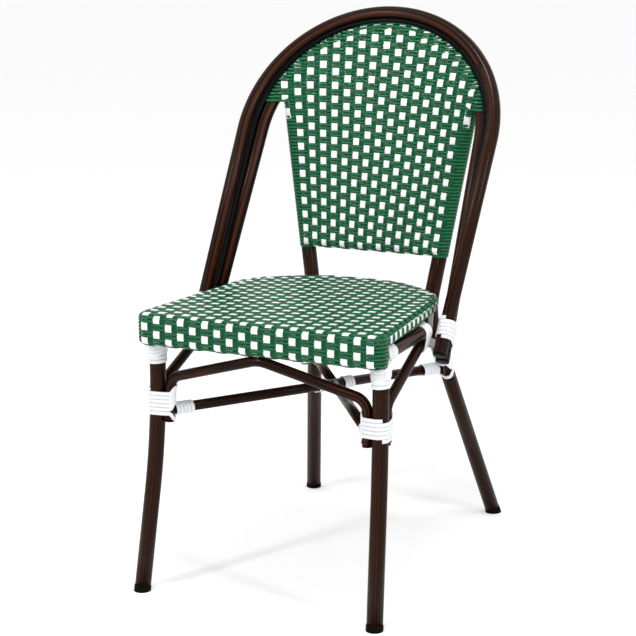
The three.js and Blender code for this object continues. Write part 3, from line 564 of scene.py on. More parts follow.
def strand(places, normals, half_width, half_thickness, squareness=1.0, sides=STRAND_SIDES):
    """A strand laid on a surface, its flat side to the surface's normals."""
    tangents = unit(np.gradient(places, axis=0))
    outward = unit(normals - tangents * np.sum(normals * tangents, axis=1, keepdims=True))
    sideways = np.cross(outward, tangents)
    return laid_tube(places, sideways, outward, half_width, half_thickness, sides, squareness)


def evened(places, passes=1):
    """Takes the corners off a row of places."""
    for _ in range(passes):
        places[1:-1] = (places[:-2] + 2 * places[1:-1] + places[2:]) / 4
    return places


def cord(places, normals):
    return strand(places, normals, CORD_HALF_WIDTH, CORD_HALF_THICKNESS)


def flat_strand(places, normals, half_width):
    thickness = FLAT_HALF_THICKNESS
    return strand(places, normals, half_width, thickness, FLAT_SQUARENESS, FLAT_SIDES)


def lashing(places, normals, half_width=STRAND_WIDTH / 2):
    thickness = STRAND_THICKNESS / 2
    return strand(places, normals, half_width, thickness, STRAND_SQUARENESS, STRAND_SQUARE_SIDES)


def bent_tube(route, radius):
    """A round tube along a route, its section carried along without twist."""
    places = np.array([place for place, _ in route])
    tangents = unit(np.array([tangent for _, tangent in route]))
    outward = [np.array(Vector(tangents[0]).orthogonal().normalized())]
    for before, after in zip(tangents, tangents[1:]):
        turn = Vector(before).rotation_difference(Vector(after))
        outward.append(np.array(turn @ Vector(outward[-1])))
    outward = np.array(outward)
    sideways = np.cross(outward, tangents)
    return laid_tube(places, sideways, outward, radius, radius, TUBE_SIDES)


def joined(meshes):
    bm = bmesh.new()
    for mesh in meshes:
        bm.from_mesh(mesh)
        bpy.data.meshes.remove(mesh)
    return mesh_from(bm, "joined")


def add_object(name, data):
    obj = bpy.data.objects.new(name, data)
    bpy.context.scene.collection.objects.link(obj)
    return obj


def piece(name, mesh, finish, slot, *nodes):
    """Shows a mesh as a piece of the chair, in place of CAD nodes."""
    mesh.name = name
    obj = add_object(name, mesh)
    mesh.materials.clear()
    mesh.materials.append(finish)
    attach(obj, "root")
    if nodes:
        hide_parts(*nodes)


# Materials
def new_finish(name, roughness, specular=0.5):
    finish = bpy.data.materials.new(name)
    finish.use_nodes = True
    shader = finish.node_tree.nodes["Principled BSDF"]
    shader.inputs["Roughness"].default_value = roughness
    shader.inputs["Specular IOR Level"].default_value = specular
    return finish, finish.node_tree


def add_node(tree, kind, inputs=(), **settings):
    node = tree.nodes.new(kind)
    for key, value in settings.items():
        setattr(node, key, value)
    for key, value in dict(inputs).items():
        if isinstance(value, bpy.types.NodeSocket):
            tree.links.new(value, node.inputs[key])
        else:
            node.inputs[key].default_value = value
    return node


def calculated(tree, operation, *values):
    values = dict(enumerate(values))
    return add_node(tree, "ShaderNodeMath", values, operation=operation).outputs[0]


def product(tree, first, second):
    return calculated(tree, "MULTIPLY", first, second)


def map_range(tree, value, **limits):
    limits = {key.replace("_", " ").title(): limit for key, limit in limits.items()}
    return add_node(tree, "ShaderNodeMapRange", {"Value": value, **limits}).outputs["Result"]


def linear(code):
    """A colour written as red, green and blue of 255, with its alpha."""
    shares = [v / 255 for v in code]
    return (*(c / 12.92 if c <= 0.04045 else ((c + 0.055) / 1.055) ** 2.4 for c in shares), 1)


def ramp(tree, source, stops):
    """Colours at their positions along a source's values."""
    node = add_node(tree, "ShaderNodeValToRGB", {"Fac": source})
    elements = node.color_ramp.elements
    while len(elements) < len(stops):
        elements.new(0.5)
    for element, (position, code) in zip(elements, stops):
        element.position = position
        element.color = linear(code)
    return node.outputs["Color"]


def darker(code, step):
    return tuple(max(0, v - step) for v in code)


def around_strand(tree, lengthwise, around):
    """Coordinates that follow a strand or tube: its length, and its round without a seam."""
    uv = add_node(tree, "ShaderNodeUVMap", uv_map="along").outputs["UV"]
    parts = add_node(tree, "ShaderNodeSeparateXYZ", {"Vector": uv}).outputs
    angle = product(tree, parts["Y"], FULL_TURN)
    across, rise = (
        product(tree, calculated(tree, wave, angle), around) for wave in ("COSINE", "SINE")
    )
    length = product(tree, parts["X"], lengthwise)
    axes = {"X": length, "Y": across, "Z": rise}
    return add_node(tree, "ShaderNodeCombineXYZ", axes).outputs["Vector"]


def object_place(tree, scale):
    place = add_node(tree, "ShaderNodeTexCoord").outputs["Object"]
    return add_node(tree, "ShaderNodeMapping", {"Vector": place, "Scale": scale}).outputs["Vector"]


def noise(tree, vector, scale, detail=3.0, roughness=0.5):
    inputs = {"Vector": vector, "Scale": scale, "Detail": detail, "Roughness": roughness}
    return add_node(tree, "ShaderNodeTexNoise", inputs).outputs["Fac"]


def paint(tree, colour, height=None, strength=0.0, distance=0.0):
    """Joins a colour, and the height of a fine relief, to the shader."""
    shader = tree.nodes["Principled BSDF"]
    tree.links.new(colour, shader.inputs["Base Color"])
    if height:
        inputs = {"Height": height, "Strength": strength, "Distance": distance}
        node = add_node(tree, "ShaderNodeBump", inputs)
        tree.links.new(node.outputs["Normal"], shader.inputs["Normal"])


def fine_lines(tree, lengthwise, around):
    return noise(tree, around_strand(tree, lengthwise, around), scale=3.0, detail=2.0)


def grained_lacquer(name, follows_tube=True):
    """Dark brown lacquer over a printed wood grain that runs along the tube."""
    finish, tree = new_finish(name, roughness=0.24, specular=0.12)
    if follows_tube:
        vector = around_strand(tree, lengthwise=3.0, around=1.0)
    else:
        vector = object_place(tree, scale=(60, 60, 4))
    streaks = noise(tree, vector, scale=3.2, detail=6.0, roughness=0.6)
    colour = ramp(tree, streaks, [
        (0.36, (5, 3, 1)), (0.47, (22, 9, 3)), (0.57, (52, 23, 7)), (0.70, (92, 44, 14)),
    ])
    paint(tree, colour)
    return finish


def painted_highlight_dashes(tree):
    """Mask of a painted highlight: 1 along the crest of a round strand, with breaks, and 0 beside
    it.
    """
    vector = around_strand(tree, lengthwise=70.0, around=1.0)
    parts = add_node(tree, "ShaderNodeSeparateXYZ", {"Vector": vector})
    painted_highlight = map_range(tree, parts.outputs["Z"], from_min=0.94, from_max=0.995)
    length = add_node(tree, "ShaderNodeCombineXYZ", {"X": parts.outputs["X"]}).outputs["Vector"]
    breaks = noise(tree, length, scale=2.2, detail=1.0)
    breaks = map_range(tree, breaks, from_min=0.46, from_max=0.6)
    return product(tree, painted_highlight, breaks)


def woven_green(name, painted_highlight=False):
    """Green plastic strand; round ones get a painted highlight, a paler broken line along their
    crest.
    """
    finish, tree = new_finish(name, roughness=0.17, specular=0.17)
    tone = noise(tree, around_strand(tree, lengthwise=40.0, around=1.6), scale=1.6)
    colour = ramp(tree, tone, [(0.35, (0, 66, 34)), (0.65, (2, 92, 52))])
    if painted_highlight:
        # The paler green is a painted highlight along each round strand's crest, broken into dashes
        # Inputs 6 and 7 and output 2 are the colours of a Mix node
        inputs = {"Factor": painted_highlight_dashes(tree), 6: colour, 7: linear((88, 168, 132))}
        colour = add_node(tree, "ShaderNodeMix", inputs, data_type="RGBA").outputs[2]
    lines = fine_lines(tree, lengthwise=6.0, around=6.0)
    paint(tree, colour, lines, strength=0.25, distance=0.0004)
    return finish


def white_strand_finish(name, tint):
    finish, tree = new_finish(name, roughness=0.42)
    tone = noise(tree, around_strand(tree, lengthwise=30.0, around=2.0), scale=2.0)
    colour = ramp(tree, tone, [(0.3, darker(tint, 8)), (0.6, tint)])
    lines = fine_lines(tree, lengthwise=5.0, around=7.0)
    paint(tree, colour, lines, strength=0.3, distance=0.0004)
    return finish


def black_plastic(name, code, roughness, follows=False):
    finish, tree = new_finish(name, roughness, specular=0.06)
    if follows:
        tone = noise(tree, around_strand(tree, lengthwise=30.0, around=2.0), scale=2.0)
    else:
        tone = noise(tree, object_place(tree, scale=(1, 1, 1)), scale=600.0)
    colour = ramp(tree, tone, [(0.35, darker(code, 4)), (0.65, code)])
    paint(tree, colour, tone, strength=0.15, distance=0.0003)
    return finish


lacquer = grained_lacquer("brown_grain_lacquer")
lacquer_plain = grained_lacquer("brown_grain_lacquer_hidden_tubes", follows_tube=False)
green = woven_green("green_flat_strand_plastic")
# Round strands carry a painted highlight along their crest
green_round_painted_highlight = woven_green("green_round_strand_painted_highlight", painted_highlight=True)
white = white_strand_finish("white_woven_strand", (248, 250, 250))
lashing_white = white_strand_finish("white_lashing_strand", (244, 246, 249))
plug_black = black_plastic("black_plug_plastic", (9, 9, 10), 0.42)
glide_black = black_plastic("black_glide_rubber", (9, 9, 9), 0.6)
filler_black = black_plastic("black_filler_plastic", (8, 9, 12), 0.28, follows=True)


# Tubes of the frame
def show_tube(node, route, radius):
    piece(f"{node}_lacquered", bent_tube(route, radius), lacquer, "frame_tube", node)


def show_straight_tube(node, start, end, reach, radius):
    way = heading(start, end)
    show_tube(node, [(along(start, way, -reach), way), (along(end, way, reach), way)], radius)


def show_frame_tubes():
    for name, side in SIDES.items():
        show_tube(f"front_leg_{name}", front_leg_route(side), LEG_RADIUS)
        show_tube(f"rear_leg_{name}", rear_leg_route(side), LEG_RADIUS)
        show_tube(f"side_brace_{name}", side_brace_route(side), BRACE_RADIUS)
    show_tube("front_brace", front_brace_route(), BRACE_RADIUS)
    show_tube("seat_rail", rail_route, RAIL_RADIUS)
    for which in arches:
        show_tube(f"arch_{which}_tube", arch_route(which, PLUG_FLANGE), ARCH_TUBE_RADIUS)
    radius = STRETCHER_RADIUS
    show_straight_tube("cross_stretcher_long", *stretcher_ends(1), BRACE_RADIUS, radius)
    centre = stretcher_crossing()
    for end, place in zip(("front", "rear"), stretcher_ends(-1)):
        way = heading(centre, place)
        inner, outer = along(centre, way, radius), along(place, way, BRACE_RADIUS)
        show_straight_tube(f"cross_stretcher_half_{end}", inner, outer, 0, radius)


def with_leg_steps(route, steps=6):
    """An arch's route, with more places along its straight legs."""
    (first, first_way), (second, _) = route[0], route[1]
    (last, last_way), (before, _) = route[-1], route[-2]
    lead = [(first.lerp(second, k / steps), first_way) for k in range(steps)]
    trail = [(before.lerp(last, k / steps), last_way) for k in range(1, steps + 1)]
    return [*lead, *route[1:-1], *trail]


def show_filler_strip():
    recess = PLUG_FLANGE + FILLER_END_RECESS
    front, rear = (with_leg_steps(arch_route(which, recess)) for which in arches)
    places, sideways, outward, depths = [], [], [], []
    for (place, tangent), (rear_place, _) in zip(front, rear):
        between = rear_place - place
        across = between - tangent * between.dot(tangent)
        near = ARCH_TUBE_RADIUS - FILLER_SINK
        far = across.length - ARCH_TUBE_RADIUS - WEAVE_COVER + FILLER_SINK
        across.normalize()
        places.append(along(place, across, (near + far) / 2))
        depths.append((far - near) / 2)
        outward.append(across)
        sideways.append(across.cross(tangent))
    places, sideways, outward, depths = map(np.array, (places, sideways, outward, depths))
    mesh = laid_tube(
        places, sideways, outward, FILLER_WIDTH / 2, depths, FILLER_SIDES, FILLER_SQUARENESS
    )
    piece("arch_filler_strip_moulded", mesh, filler_black, "plug", "arch_filler_strip")


# Plugs and glides are turned on a lathe line
def sharp_edges(bm, angle):
    return [e for e in bm.edges if len(e.link_faces) == 2 and e.calc_face_angle(0) > angle]


def turned(profile, place, direction, bevel=0.6, level_floor=False):
    bm = bmesh.new()
    line = [bm.verts.new((radius * MM, 0, height * MM)) for radius, height in profile]
    edges = [bm.edges.new(pair) for pair in zip(line, line[1:])]
    bmesh.ops.spin(
        bm, geom=line + edges, cent=(0, 0, 0), axis=(0, 0, 1), angle=FULL_TURN,
        steps=TUBE_SIDES, use_merge=True, use_duplicate=False,
    )
    bmesh.ops.remove_doubles(bm, verts=bm.verts[:], dist=1e-6)
    bmesh.ops.recalc_face_normals(bm, faces=bm.faces[:])
    bmesh.ops.bevel(
        bm, geom=sharp_edges(bm, BEVELLED_ANGLE), offset=bevel * MM, offset_type="OFFSET",
        affect="EDGES", segments=3, profile=0.5, material=-1,
    )
    turn = Vector((0, 0, 1)).rotation_difference(direction)
    matrix = Matrix.Translation(place * MM) @ turn.to_matrix().to_4x4()
    bmesh.ops.transform(bm, matrix=matrix, verts=bm.verts[:])
    if level_floor:
        geom = bm.verts[:] + bm.edges[:] + bm.faces[:]
        bmesh.ops.bisect_plane(
            bm, geom=geom, plane_co=(0, 0, 0), plane_no=(0, 0, 1), clear_inner=True, dist=1e-7
        )
        fill_holes(bm)
    for face in bm.faces:
        face.smooth = True
    for edge in sharp_edges(bm, SHARP_ANGLE):
        edge.smooth = False
    return mesh_from(bm, "turned")


def show_plug(node, station, way, radius):
    place, tangent = station
    rim, stem = radius - FIT_GAP, radius - FIT_GAP - PLUG_STEM_INSET
    profile = [
        (0, -PLUG_FLANGE), (rim, -PLUG_FLANGE), (rim, 0), (stem, PLUG_STEM_STEP),
        (stem, PLUG_STEM_LENGTH), (0, PLUG_STEM_LENGTH),
    ]
    inward = tangent * way
    mesh = turned(profile, along(place, inward, -FIT_GAP), inward)
    piece(f"{node}_moulded", mesh, plug_black, "plug", node)


def show_glide(node, foot, above):
    rim, top = LEG_RADIUS + GLIDE_RIM, GLIDE_HEIGHT - FIT_GAP
    profile = [
        (0, -GLIDE_HEIGHT), (rim, -GLIDE_HEIGHT), (rim, top), (rim - GLIDE_STEM, top),
        (rim - GLIDE_STEM, top + GLIDE_STEM), (0, top + GLIDE_STEM),
    ]
    mesh = turned(profile, foot, heading(foot, above), level_floor=True)
    piece(f"{node}_rubber", mesh, glide_black, "glide", node)


def show_plugs_and_glides():
    routes = {"front_brace": front_brace_route()}
    for name, side in SIDES.items():
        routes[f"side_brace_{name}"] = side_brace_route(side)
    for name, route in routes.items():
        show_plug(f"{name}_plug_a", route[0], 1, BRACE_RADIUS)
        show_plug(f"{name}_plug_b", route[-1], -1, BRACE_RADIUS)
    for which in arches:
        route = arch_route(which, PLUG_FLANGE)
        show_plug(f"arch_{which}_plug_right", route[0], 1, ARCH_TUBE_RADIUS)
        show_plug(f"arch_{which}_plug_left", route[-1], -1, ARCH_TUBE_RADIUS)
    for name, side in SIDES.items():
        corners = {"front": front_leg_corners(side)[::-1], "rear": rear_leg_corners(side)}
        for which, (foot, above, _) in corners.items():
            show_glide(f"{which}_glide_{name}", foot, above)


# Weave
arch_middle, arch_rise, arch_behind = (np.array(v) for v in (rear_centre, rear_up, rear_back))


def flipped(side, *rows):
    """Rows of places or normals, mirrored for the left side."""
    return [row * [side, 1, 1] for row in rows]


def ordered(before, middle, after):
    """Places and normals of three parts as one row; the first part is turned round."""
    rows = zip(before, middle, after)
    return [np.concatenate([first[::-1], second, third]) for first, second, third in rows]


def flattened_wave(share):
    """A cosine with broad tops, from 1 at even whole shares to -1 at odd ones."""
    wave = np.cos(np.pi * share)
    return wave * (1.5 - 0.5 * wave * wave)


def cord_swing(share, row):
    return CORD_SWING * flattened_wave(share - PAIR_CENTRE_SHARE + row)


def flat_swing(share, column):
    return -FLAT_SWING * flattened_wave(share + column)


def back_pitch(height):
    return BACK_COLUMN_PITCH + BACK_COLUMN_SPREAD * (height - BACK_ROW_ORIGIN)


def back_flat_swing(height, column):
    return flat_swing((BACK_ROW_ORIGIN - height) / BACK_ROW_PITCH, column)


def arch_radial(across, rise):
    """Directions from the middle of the rear arch, in its leaning plane."""
    across, rise = np.asarray(across)[..., None], np.asarray(rise)[..., None]
    return across * np.array([1.0, 0, 0]) + rise * arch_rise


upright = rear_leg_route(1)
upright_x, upright_y, upright_heights = np.array([place for place, _ in upright]).T


def edge_tube(height, wrap, radius):
    """Place on the back's right edge tube at a height, wrapped round it from its front."""
    height, wrap, radius = np.broadcast_arrays(
        *(np.asarray(v, float) for v in (height, wrap, radius))
    )
    x, y = (np.interp(height, upright_heights, v) for v in (upright_x, upright_y))
    low_normal = np.stack([np.sin(wrap), -np.cos(wrap), np.zeros_like(height)], -1)
    low_radius = LEG_RADIUS + radius
    low = np.stack([x, y, height], -1) + low_radius[..., None] * low_normal
    r = ARCH_TUBE_RADIUS + radius
    reach = REAR_RADIUS + r * np.sin(wrap)
    fall = height - rear_centre.z + r * np.cos(wrap) * rear_back.z
    rise = np.clip(fall / (reach * rear_up.z), -1, 1)
    radial = arch_radial(np.sqrt(1 - rise * rise), rise)
    high = arch_middle + reach[..., None] * radial - (r * np.cos(wrap))[..., None] * arch_behind
    high_normal = np.sin(wrap)[..., None] * radial - np.cos(wrap)[..., None] * arch_behind
    above = (height >= SHOULDER_HEIGHT)[..., None]
    return np.where(above, high, low), np.where(above, high_normal, low_normal)


bar_height = BACK_BOTTOM_HEIGHT + BAR_RADIUS + WEAVE_COVER
bar_y = place_at_height(upright, bar_height)[0].y - BOTTOM_BAR_FORWARD


def back_middle(height):
    """Depth of the sheet's middle line at a height."""
    low_y = bar_y - BAR_RADIUS - SHEET_LIFT
    high_y = rear_top.y - ARCH_TUBE_RADIUS - SHEET_LIFT
    heights = [bar_height, SHOULDER_HEIGHT, rear_top.z]
    return np.interp(height, heights, [low_y, SHOULDER_CENTRE_Y + SHOULDER_SHEET_SETBACK, high_y])


def edge_start(height):
    """Where the sheet leaves the edge tube, so that it runs off it without a corner."""
    middle = back_middle(height)
    wrap = np.zeros_like(middle)
    place, _ = edge_tube(height, wrap, SHEET_LIFT)
    for _ in range(EDGE_START_PASSES):
        across = np.maximum(place[..., 0], EDGE_START_LEAST_X)
        wrap = -np.arctan(2 * (middle - place[..., 1]) / across)
        place, _ = edge_tube(height, wrap, SHEET_LIFT)
    return wrap, place


# How far the panel bows towards its edges, just below and just above the shoulders
bow_heights = np.array(SHOULDER_BOW_HEIGHTS, float)
_, bow_edges = edge_start(bow_heights)
bows = (bow_edges[:, 1] - back_middle(bow_heights)) / bow_edges[:, 0] ** 2


def back_place(x, height):
    """Middle of the woven back at a distance from the centre line, and on round its edge tube."""
    x, height = np.broadcast_arrays(np.asarray(x, float), np.asarray(height, float))
    wrap, edge = edge_start(height)
    over = np.maximum(np.abs(x) - edge[..., 0], 0)
    beyond, _ = edge_tube(height, wrap + over / (LEG_RADIUS + SHEET_LIFT), SHEET_LIFT)
    share = np.clip(np.abs(x) / np.maximum(edge[..., 0], 1), 0, 1)
    middle = back_middle(height)
    # The bow fades out above the bottom bar, and flows on over the shoulders
    bend = BOW_POWER + BAR_BOW_POWER * (1 - smooth_share(height - bar_height, *BAR_BOW_FADE))
    depth = middle + (edge[..., 1] - middle) * share ** bend
    flowing = middle + np.interp(height, bow_heights, bows) * (share * edge[..., 0]) ** 2
    start, end = (smooth_share(height, *limits) for limits in SHOULDER_FLOW)
    near = start * (1 - end) * (1 - share ** SHOULDER_FLOW_POWER)
    inside = np.stack([np.abs(x), depth * (1 - near) + flowing * near, height], -1)
    place = np.where((over > 0)[..., None], beyond, inside)
    place[..., 0] *= np.where(x < 0, -1, 1)
    return place


def back_sheet(x, height, step=0.5):
    """Places and normals of the woven back's middle."""
    du = back_place(x + step, height) - back_place(x - step, height)
    dv = back_place(x, height + step) - back_place(x, height - step)
    return back_place(x, height), unit(np.cross(du, dv))


def back_cord(height, row):
    """One crosswise strand of the back, round the edge tube at both ends."""
    wrap, edge = edge_start(np.array([height]))
    start, reach = wrap[0], edge[0, 0]
    x = np.linspace(-reach, reach, 2 * int(reach / BACK_CORD_STEP) + 1)
    places, normals = back_sheet(x, height)
    pitch = back_pitch(height)
    on_arch = height > SHOULDER_HEIGHT
    columns = SHOULDER_COLUMN - (height <= SHOULDER_ROW_HEIGHT)
    last_right, last_left = ((columns + share) * pitch for share in BACK_LAST_SHARES)

    def past_last(distance, last):
        return smooth_share(distance, last - BACK_LAST_BLEND, last + BACK_LAST_BLEND)

    outside = past_last(x, last_right) + past_last(-x, last_left)
    resting = ARCH_REST_LIFT if on_arch else EDGE_REST_SWING
    swing = cord_swing(x / pitch, row) * (1 - outside) + resting * outside
    places = places + normals * swing[:, None]
    turns = start + np.linspace(0, EDGE_WRAP - start, EDGE_STEPS)[1:]
    settled = ARCH_SETTLED_LIFT if on_arch else EDGE_SETTLED_LIFT
    beyond = reach + (turns - start) * (LEG_RADIUS + SHEET_LIFT)

    def round_edge(side, last, first_swing):
        if on_arch:
            first = SHEET_LIFT + first_swing
            share = smooth_share(turns, start, start + ARCH_SETTLING_TURN)
            lift = first + (settled - first) * share
        else:
            past = past_last(beyond, last)
            lift = SHEET_LIFT + cord_swing(side * beyond / pitch, row)
            lift = lift * (1 - past) + settled * past
        return flipped(side, *edge_tube(height, turns, lift))

    left, right = round_edge(-1, last_left, swing[0]), round_edge(1, last_right, swing[-1])
    places, normals = ordered(left, (places, normals), right)
    return cord(evened(places), normals)


def arch_cord(height, row):
    """A crosswise strand of the topmost rows, which follow the arch's rear tube."""
    rise = (height - rear_top.z) / (ARCH_TUBE_RADIUS + SHEET_LIFT)
    turn = math.asin(min(rise, ARCH_CORD_HIGHEST_SHARE)) - ARCH_LEAN
    x = np.linspace(-ARCH_CORD_REACH, ARCH_CORD_REACH, ARCH_CORD_PLACES)
    across = x / REAR_RADIUS
    radial = arch_radial(across, np.sqrt(1 - across ** 2))
    normals = math.sin(turn) * radial - math.cos(turn) * arch_behind
    swing = cord_swing(x / back_pitch(height), row)
    if height > rear_top.z + ARCH_WAVE_END:
        swing = np.full_like(x, ARCH_REST_LIFT)
    places = arch_middle + REAR_RADIUS * radial
    return cord(places + normals * (ARCH_TUBE_RADIUS + SHEET_LIFT + swing)[:, None], normals)


def over_arch(last_x, last_height, column):
    """The end of an upright strand: over the arch's rear tube and down behind it."""
    angle = math.atan2((last_height - rear_centre.z) / rear_up.z, last_x)
    radial = arch_radial(math.cos(angle), math.sin(angle))
    on_top = abs(last_x) < ARCH_TOP_HALF_WIDTH
    turns = np.linspace(OVER_ARCH_STARTS[on_top], OVER_ARCH_END, OVER_ARCH_PLACES)
    normals = np.sin(turns)[:, None] * radial - np.cos(turns)[:, None] * arch_behind
    centre = arch_middle + REAR_RADIUS * radial
    heights = centre[2] + (ARCH_TUBE_RADIUS + SHEET_LIFT) * normals[:, 2]
    raised = (1 - smooth_share(heights - rear_top.z, *ARCH_WHITES_END)) * on_top
    lift = SHEET_LIFT + back_flat_swing(heights, column) - TUCKED_LIFT
    lift = TUCKED_LIFT + lift * raised
    return centre + (ARCH_TUBE_RADIUS + lift)[:, None] * normals, normals


def round_bar(x, column):
    """The low end of an upright strand: round the bottom bar and up behind it."""
    around = np.linspace(0, BAR_STRAND_WRAP, BAR_STRAND_STEPS)[1:]
    run = around * (BAR_RADIUS + SHEET_LIFT)
    swing = flat_swing((BACK_ROW_ORIGIN - bar_height + run) / BACK_ROW_PITCH, column)
    front_y = back_place([x], bar_height)[0, 1]
    normals = np.stack([np.zeros_like(around), -np.cos(around), -np.sin(around)], -1)
    centre = np.array([x, front_y + BAR_RADIUS + SHEET_LIFT, bar_height])
    return centre + normals * (BAR_RADIUS + SHEET_LIFT + swing)[:, None], normals


def back_upright_strand(column, offset, half_share):
    """One flat strand that runs down the back, from round the arch to round the bottom bar."""
    at_shoulder = abs(column) == SHOULDER_COLUMN
    bottom = SHOULDER_COLUMN_BOTTOM if at_shoulder else bar_height
    z = np.arange(bottom, rear_top.z, BACK_ROW_PITCH / PLACES_A_ROW)
    x = (column + offset) * back_pitch(z)
    in_plane = np.hypot(x, (z - rear_centre.z) / rear_up.z)
    keep = (in_plane < REAR_RADIUS - 1) | (z < rear_centre.z)
    z, x = z[keep], x[keep]
    places, normals = back_sheet(x, z)
    tucked = 1 - smooth_share(REAR_RADIUS - in_plane[keep], 0, TUCK_RUN)
    tucked = np.where((z < rear_centre.z) | (np.abs(x) < ARCH_TOP_HALF_WIDTH), 0, tucked)
    swing = back_flat_swing(z, column) * (1 - tucked) - (SHEET_LIFT - TUCKED_LIFT) * tucked
    if at_shoulder:
        raised = smooth_share(z, *SHOULDER_COLUMN_RISE)
        swing = swing * raised + SHOULDER_COLUMN_LIFT * (1 - raised)
    sheet = (places + normals * swing[:, None], normals)
    low = (places[:0], normals[:0]) if at_shoulder else round_bar(x[0], column)
    places, normals = ordered(low, sheet, over_arch(x[-1], z[-1], column))
    half_width = half_share * back_pitch(places[:, 2])
    return flat_strand(evened(places), normals, half_width)


def bar_cord(turn, row):
    """A crosswise strand that runs along the bottom bar, at an angle round it."""
    x = np.linspace(-BAR_CORD_REACH, BAR_CORD_REACH, BAR_CORD_PLACES)
    front_y = back_place(x, bar_height)[:, 1]
    swing = cord_swing(x / back_pitch(bar_height), row)
    normals = np.tile([0, -math.cos(turn), -math.sin(turn)], (len(x), 1))
    centres = np.stack([x, front_y + BAR_RADIUS + SHEET_LIFT, np.full_like(x, bar_height)], -1)
    return cord(centres + normals * (BAR_RADIUS + SHEET_LIFT + swing)[:, None], normals)


def sleeve_cord(height, side):
    """A turn of green strand round an upright, below the rows that cross the panel."""
    turns = np.linspace(*SLEEVE_TURNS, SLEEVE_PLACES)
    return cord(*flipped(side, *edge_tube(height, turns, EDGE_SETTLED_LIFT)))


def back_cords(height, row):
    """The crosswise strands of one level of the back."""
    if height > rear_top.z + ARCH_ROWS_START:
        return [arch_cord(height, row)]
    if height > bar_height:
        return [back_cord(height, row)]
    turn = (bar_height - height) / (BAR_RADIUS + SHEET_LIFT)
    cords = [bar_cord(turn, row)] if turn < BAR_WRAP else []
    if height > BACK_BOTTOM_HEIGHT - 1:
        cords += [sleeve_cord(height, side) for side in (-1, 1)]
    return cords


def show_back():
    cords, whites, greens = [], [], []
    top = rear_top.z + ARCH_WAVE_END
    top_row = -math.ceil((top - BACK_ROW_ORIGIN) / BACK_ROW_PITCH)
    for row in range(top_row, BACK_LAST_ROW + 1):
        for half in (-1, 1):
            cords += back_cords(BACK_ROW_ORIGIN - BACK_ROW_PITCH * (row + half / 4), row)
    for column in range(-SHOULDER_COLUMN, SHOULDER_COLUMN + 1):
        whites.append(back_upright_strand(column, 0, WHITE_SHARE))
        greens.append(back_upright_strand(column, GREEN_OFFSET_SHARE, GREEN_SHARE))
    piece("back_crosswise_strands", joined(cords), green_round_painted_highlight, "weave", "back_weave")
    piece("back_white_strands", joined(whites), white, "strand")
    piece("back_green_strands", joined(greens), green, "weave")


# Seat
def seat_outline(inset):
    """The seat's outline as places, from the middle of the front round the right to the rear."""
    outer = [Vector((x, y)) for x, y, _ in SEAT_OUTLINE]
    outer += [Vector((-v.x, v.y)) for v in outer[::-1]]
    corners = []
    for i in range(3):
        into = (outer[i] - outer[i - 1]).normalized()
        out = (outer[i + 1] - outer[i]).normalized()
        bisector = Vector((-into.y - out.y, into.x + out.x)).normalized()
        reach = inset / (bisector.x * -into.y + bisector.y * into.x)
        corners.append(outer[i] + bisector * reach)
    middles = [Vector((0, corners[k].y)) for k in (0, 2)]
    route = rounded_route(
        [v.to_3d() for v in (middles[0], *corners, middles[1])],
        [radius - inset for _, _, radius in SEAT_OUTLINE],
    )
    return np.array([place[:2] for place, _ in route])


rim_line = seat_outline(RIM)
SEAT_MIDDLE_HEIGHT = SEAT_HEIGHT - SHEET_DEPTH
HEM_MIDDLE = HEM_ROUNDING - SHEET_DEPTH


def seat_pitch(y):
    share = np.clip((y - SEAT_CLOSING_START_Y) / SEAT_CLOSING_DEPTH, 0, SEAT_CLOSING_END_SHARE)
    return SEAT_COLUMN_PITCH - SEAT_COLUMN_CLOSING * share ** 2


def rim_x(y):
    """Half width of the flat top of the seat at depths."""
    right = rim_line[np.argsort(rim_line[:, 1])]
    return np.interp(y, right[:, 1], right[:, 0], left=0, right=0)


def rim_crossing(start, end):
    """Where a line on the seat's top leaves the flat part, and how far it slants to the rim."""
    a, b = np.array(start, float), np.array(end, float)
    line = b - a
    best = None
    for p, q in zip(rim_line, rim_line[1:]):
        for sign in (1, -1):
            offset = p * [sign, 1] - a
            edge = (q - p) * [sign, 1]
            det = line[0] * edge[1] - line[1] * edge[0]
            if abs(det) < 1e-9:
                continue
            t = (offset[0] * edge[1] - offset[1] * edge[0]) / det
            s = (offset[0] * line[1] - offset[1] * line[0]) / det
            if -1e-6 <= s <= 1 + 1e-6 and t > 0 and (best is None or t < best[0]):
                normal = np.array([edge[1], -edge[0]])
                best = (t, normal / np.linalg.norm(normal))
    t, normal = best
    return a + line * t, abs(float(line / np.linalg.norm(line) @ normal))


def hem_profile(depth, full):
    """Steps round the hem from the top: distance out past the rim, height, and the normal."""
    r = HEM_MIDDLE
    low = SEAT_HEIGHT - depth + HEM_ROUNDING
    high = SEAT_HEIGHT - HEM_ROUNDING
    rows = []

    def add_arc(out, height, quarters, count):
        for angle in np.linspace(0, math.pi / 2, count):
            away, up = math.sin(angle), math.cos(angle)
            for _ in range(quarters):
                away, up = up, -away
            rows.append((out + r * away, height + r * up, away, up))

    add_arc(0, high, 0, HEM_ARC_PLACES)
    steps = max(2, int((high - low) / HEM_STEP))
    rows += [(r, high + (low - high) * k / steps, 1, 0) for k in range(1, steps)]
    add_arc(0, low, 1, HEM_ARC_PLACES)
    if full:
        back = 2 * HEM_ROUNDING - HEM_THICKNESS
        add_arc(back, low, 2, HEM_INNER_ARC_PLACES)
        rows.append((back - r, high - HEM_INNER_DROP, -1, 0))
    return np.array(rows, float)


front_profile = hem_profile(SEAT_HEIGHT - FRONT_HEM_BOTTOM, False)
side_profile = hem_profile(HEM_THICKNESS, True)
front_runs, side_runs = (run_lengths(v[:, :2]) for v in (front_profile, side_profile))
FRONT_RIM_Y = SEAT_FRONT_Y + HEM_ROUNDING
SIDE_WHITE_RUN = HEM_MIDDLE * math.pi / 2 + (HEM_THICKNESS - 2 * HEM_ROUNDING) / 2


def interpolated(at, distances, rows):
    return np.stack([np.interp(at, distances, column) for column in rows.T], -1)


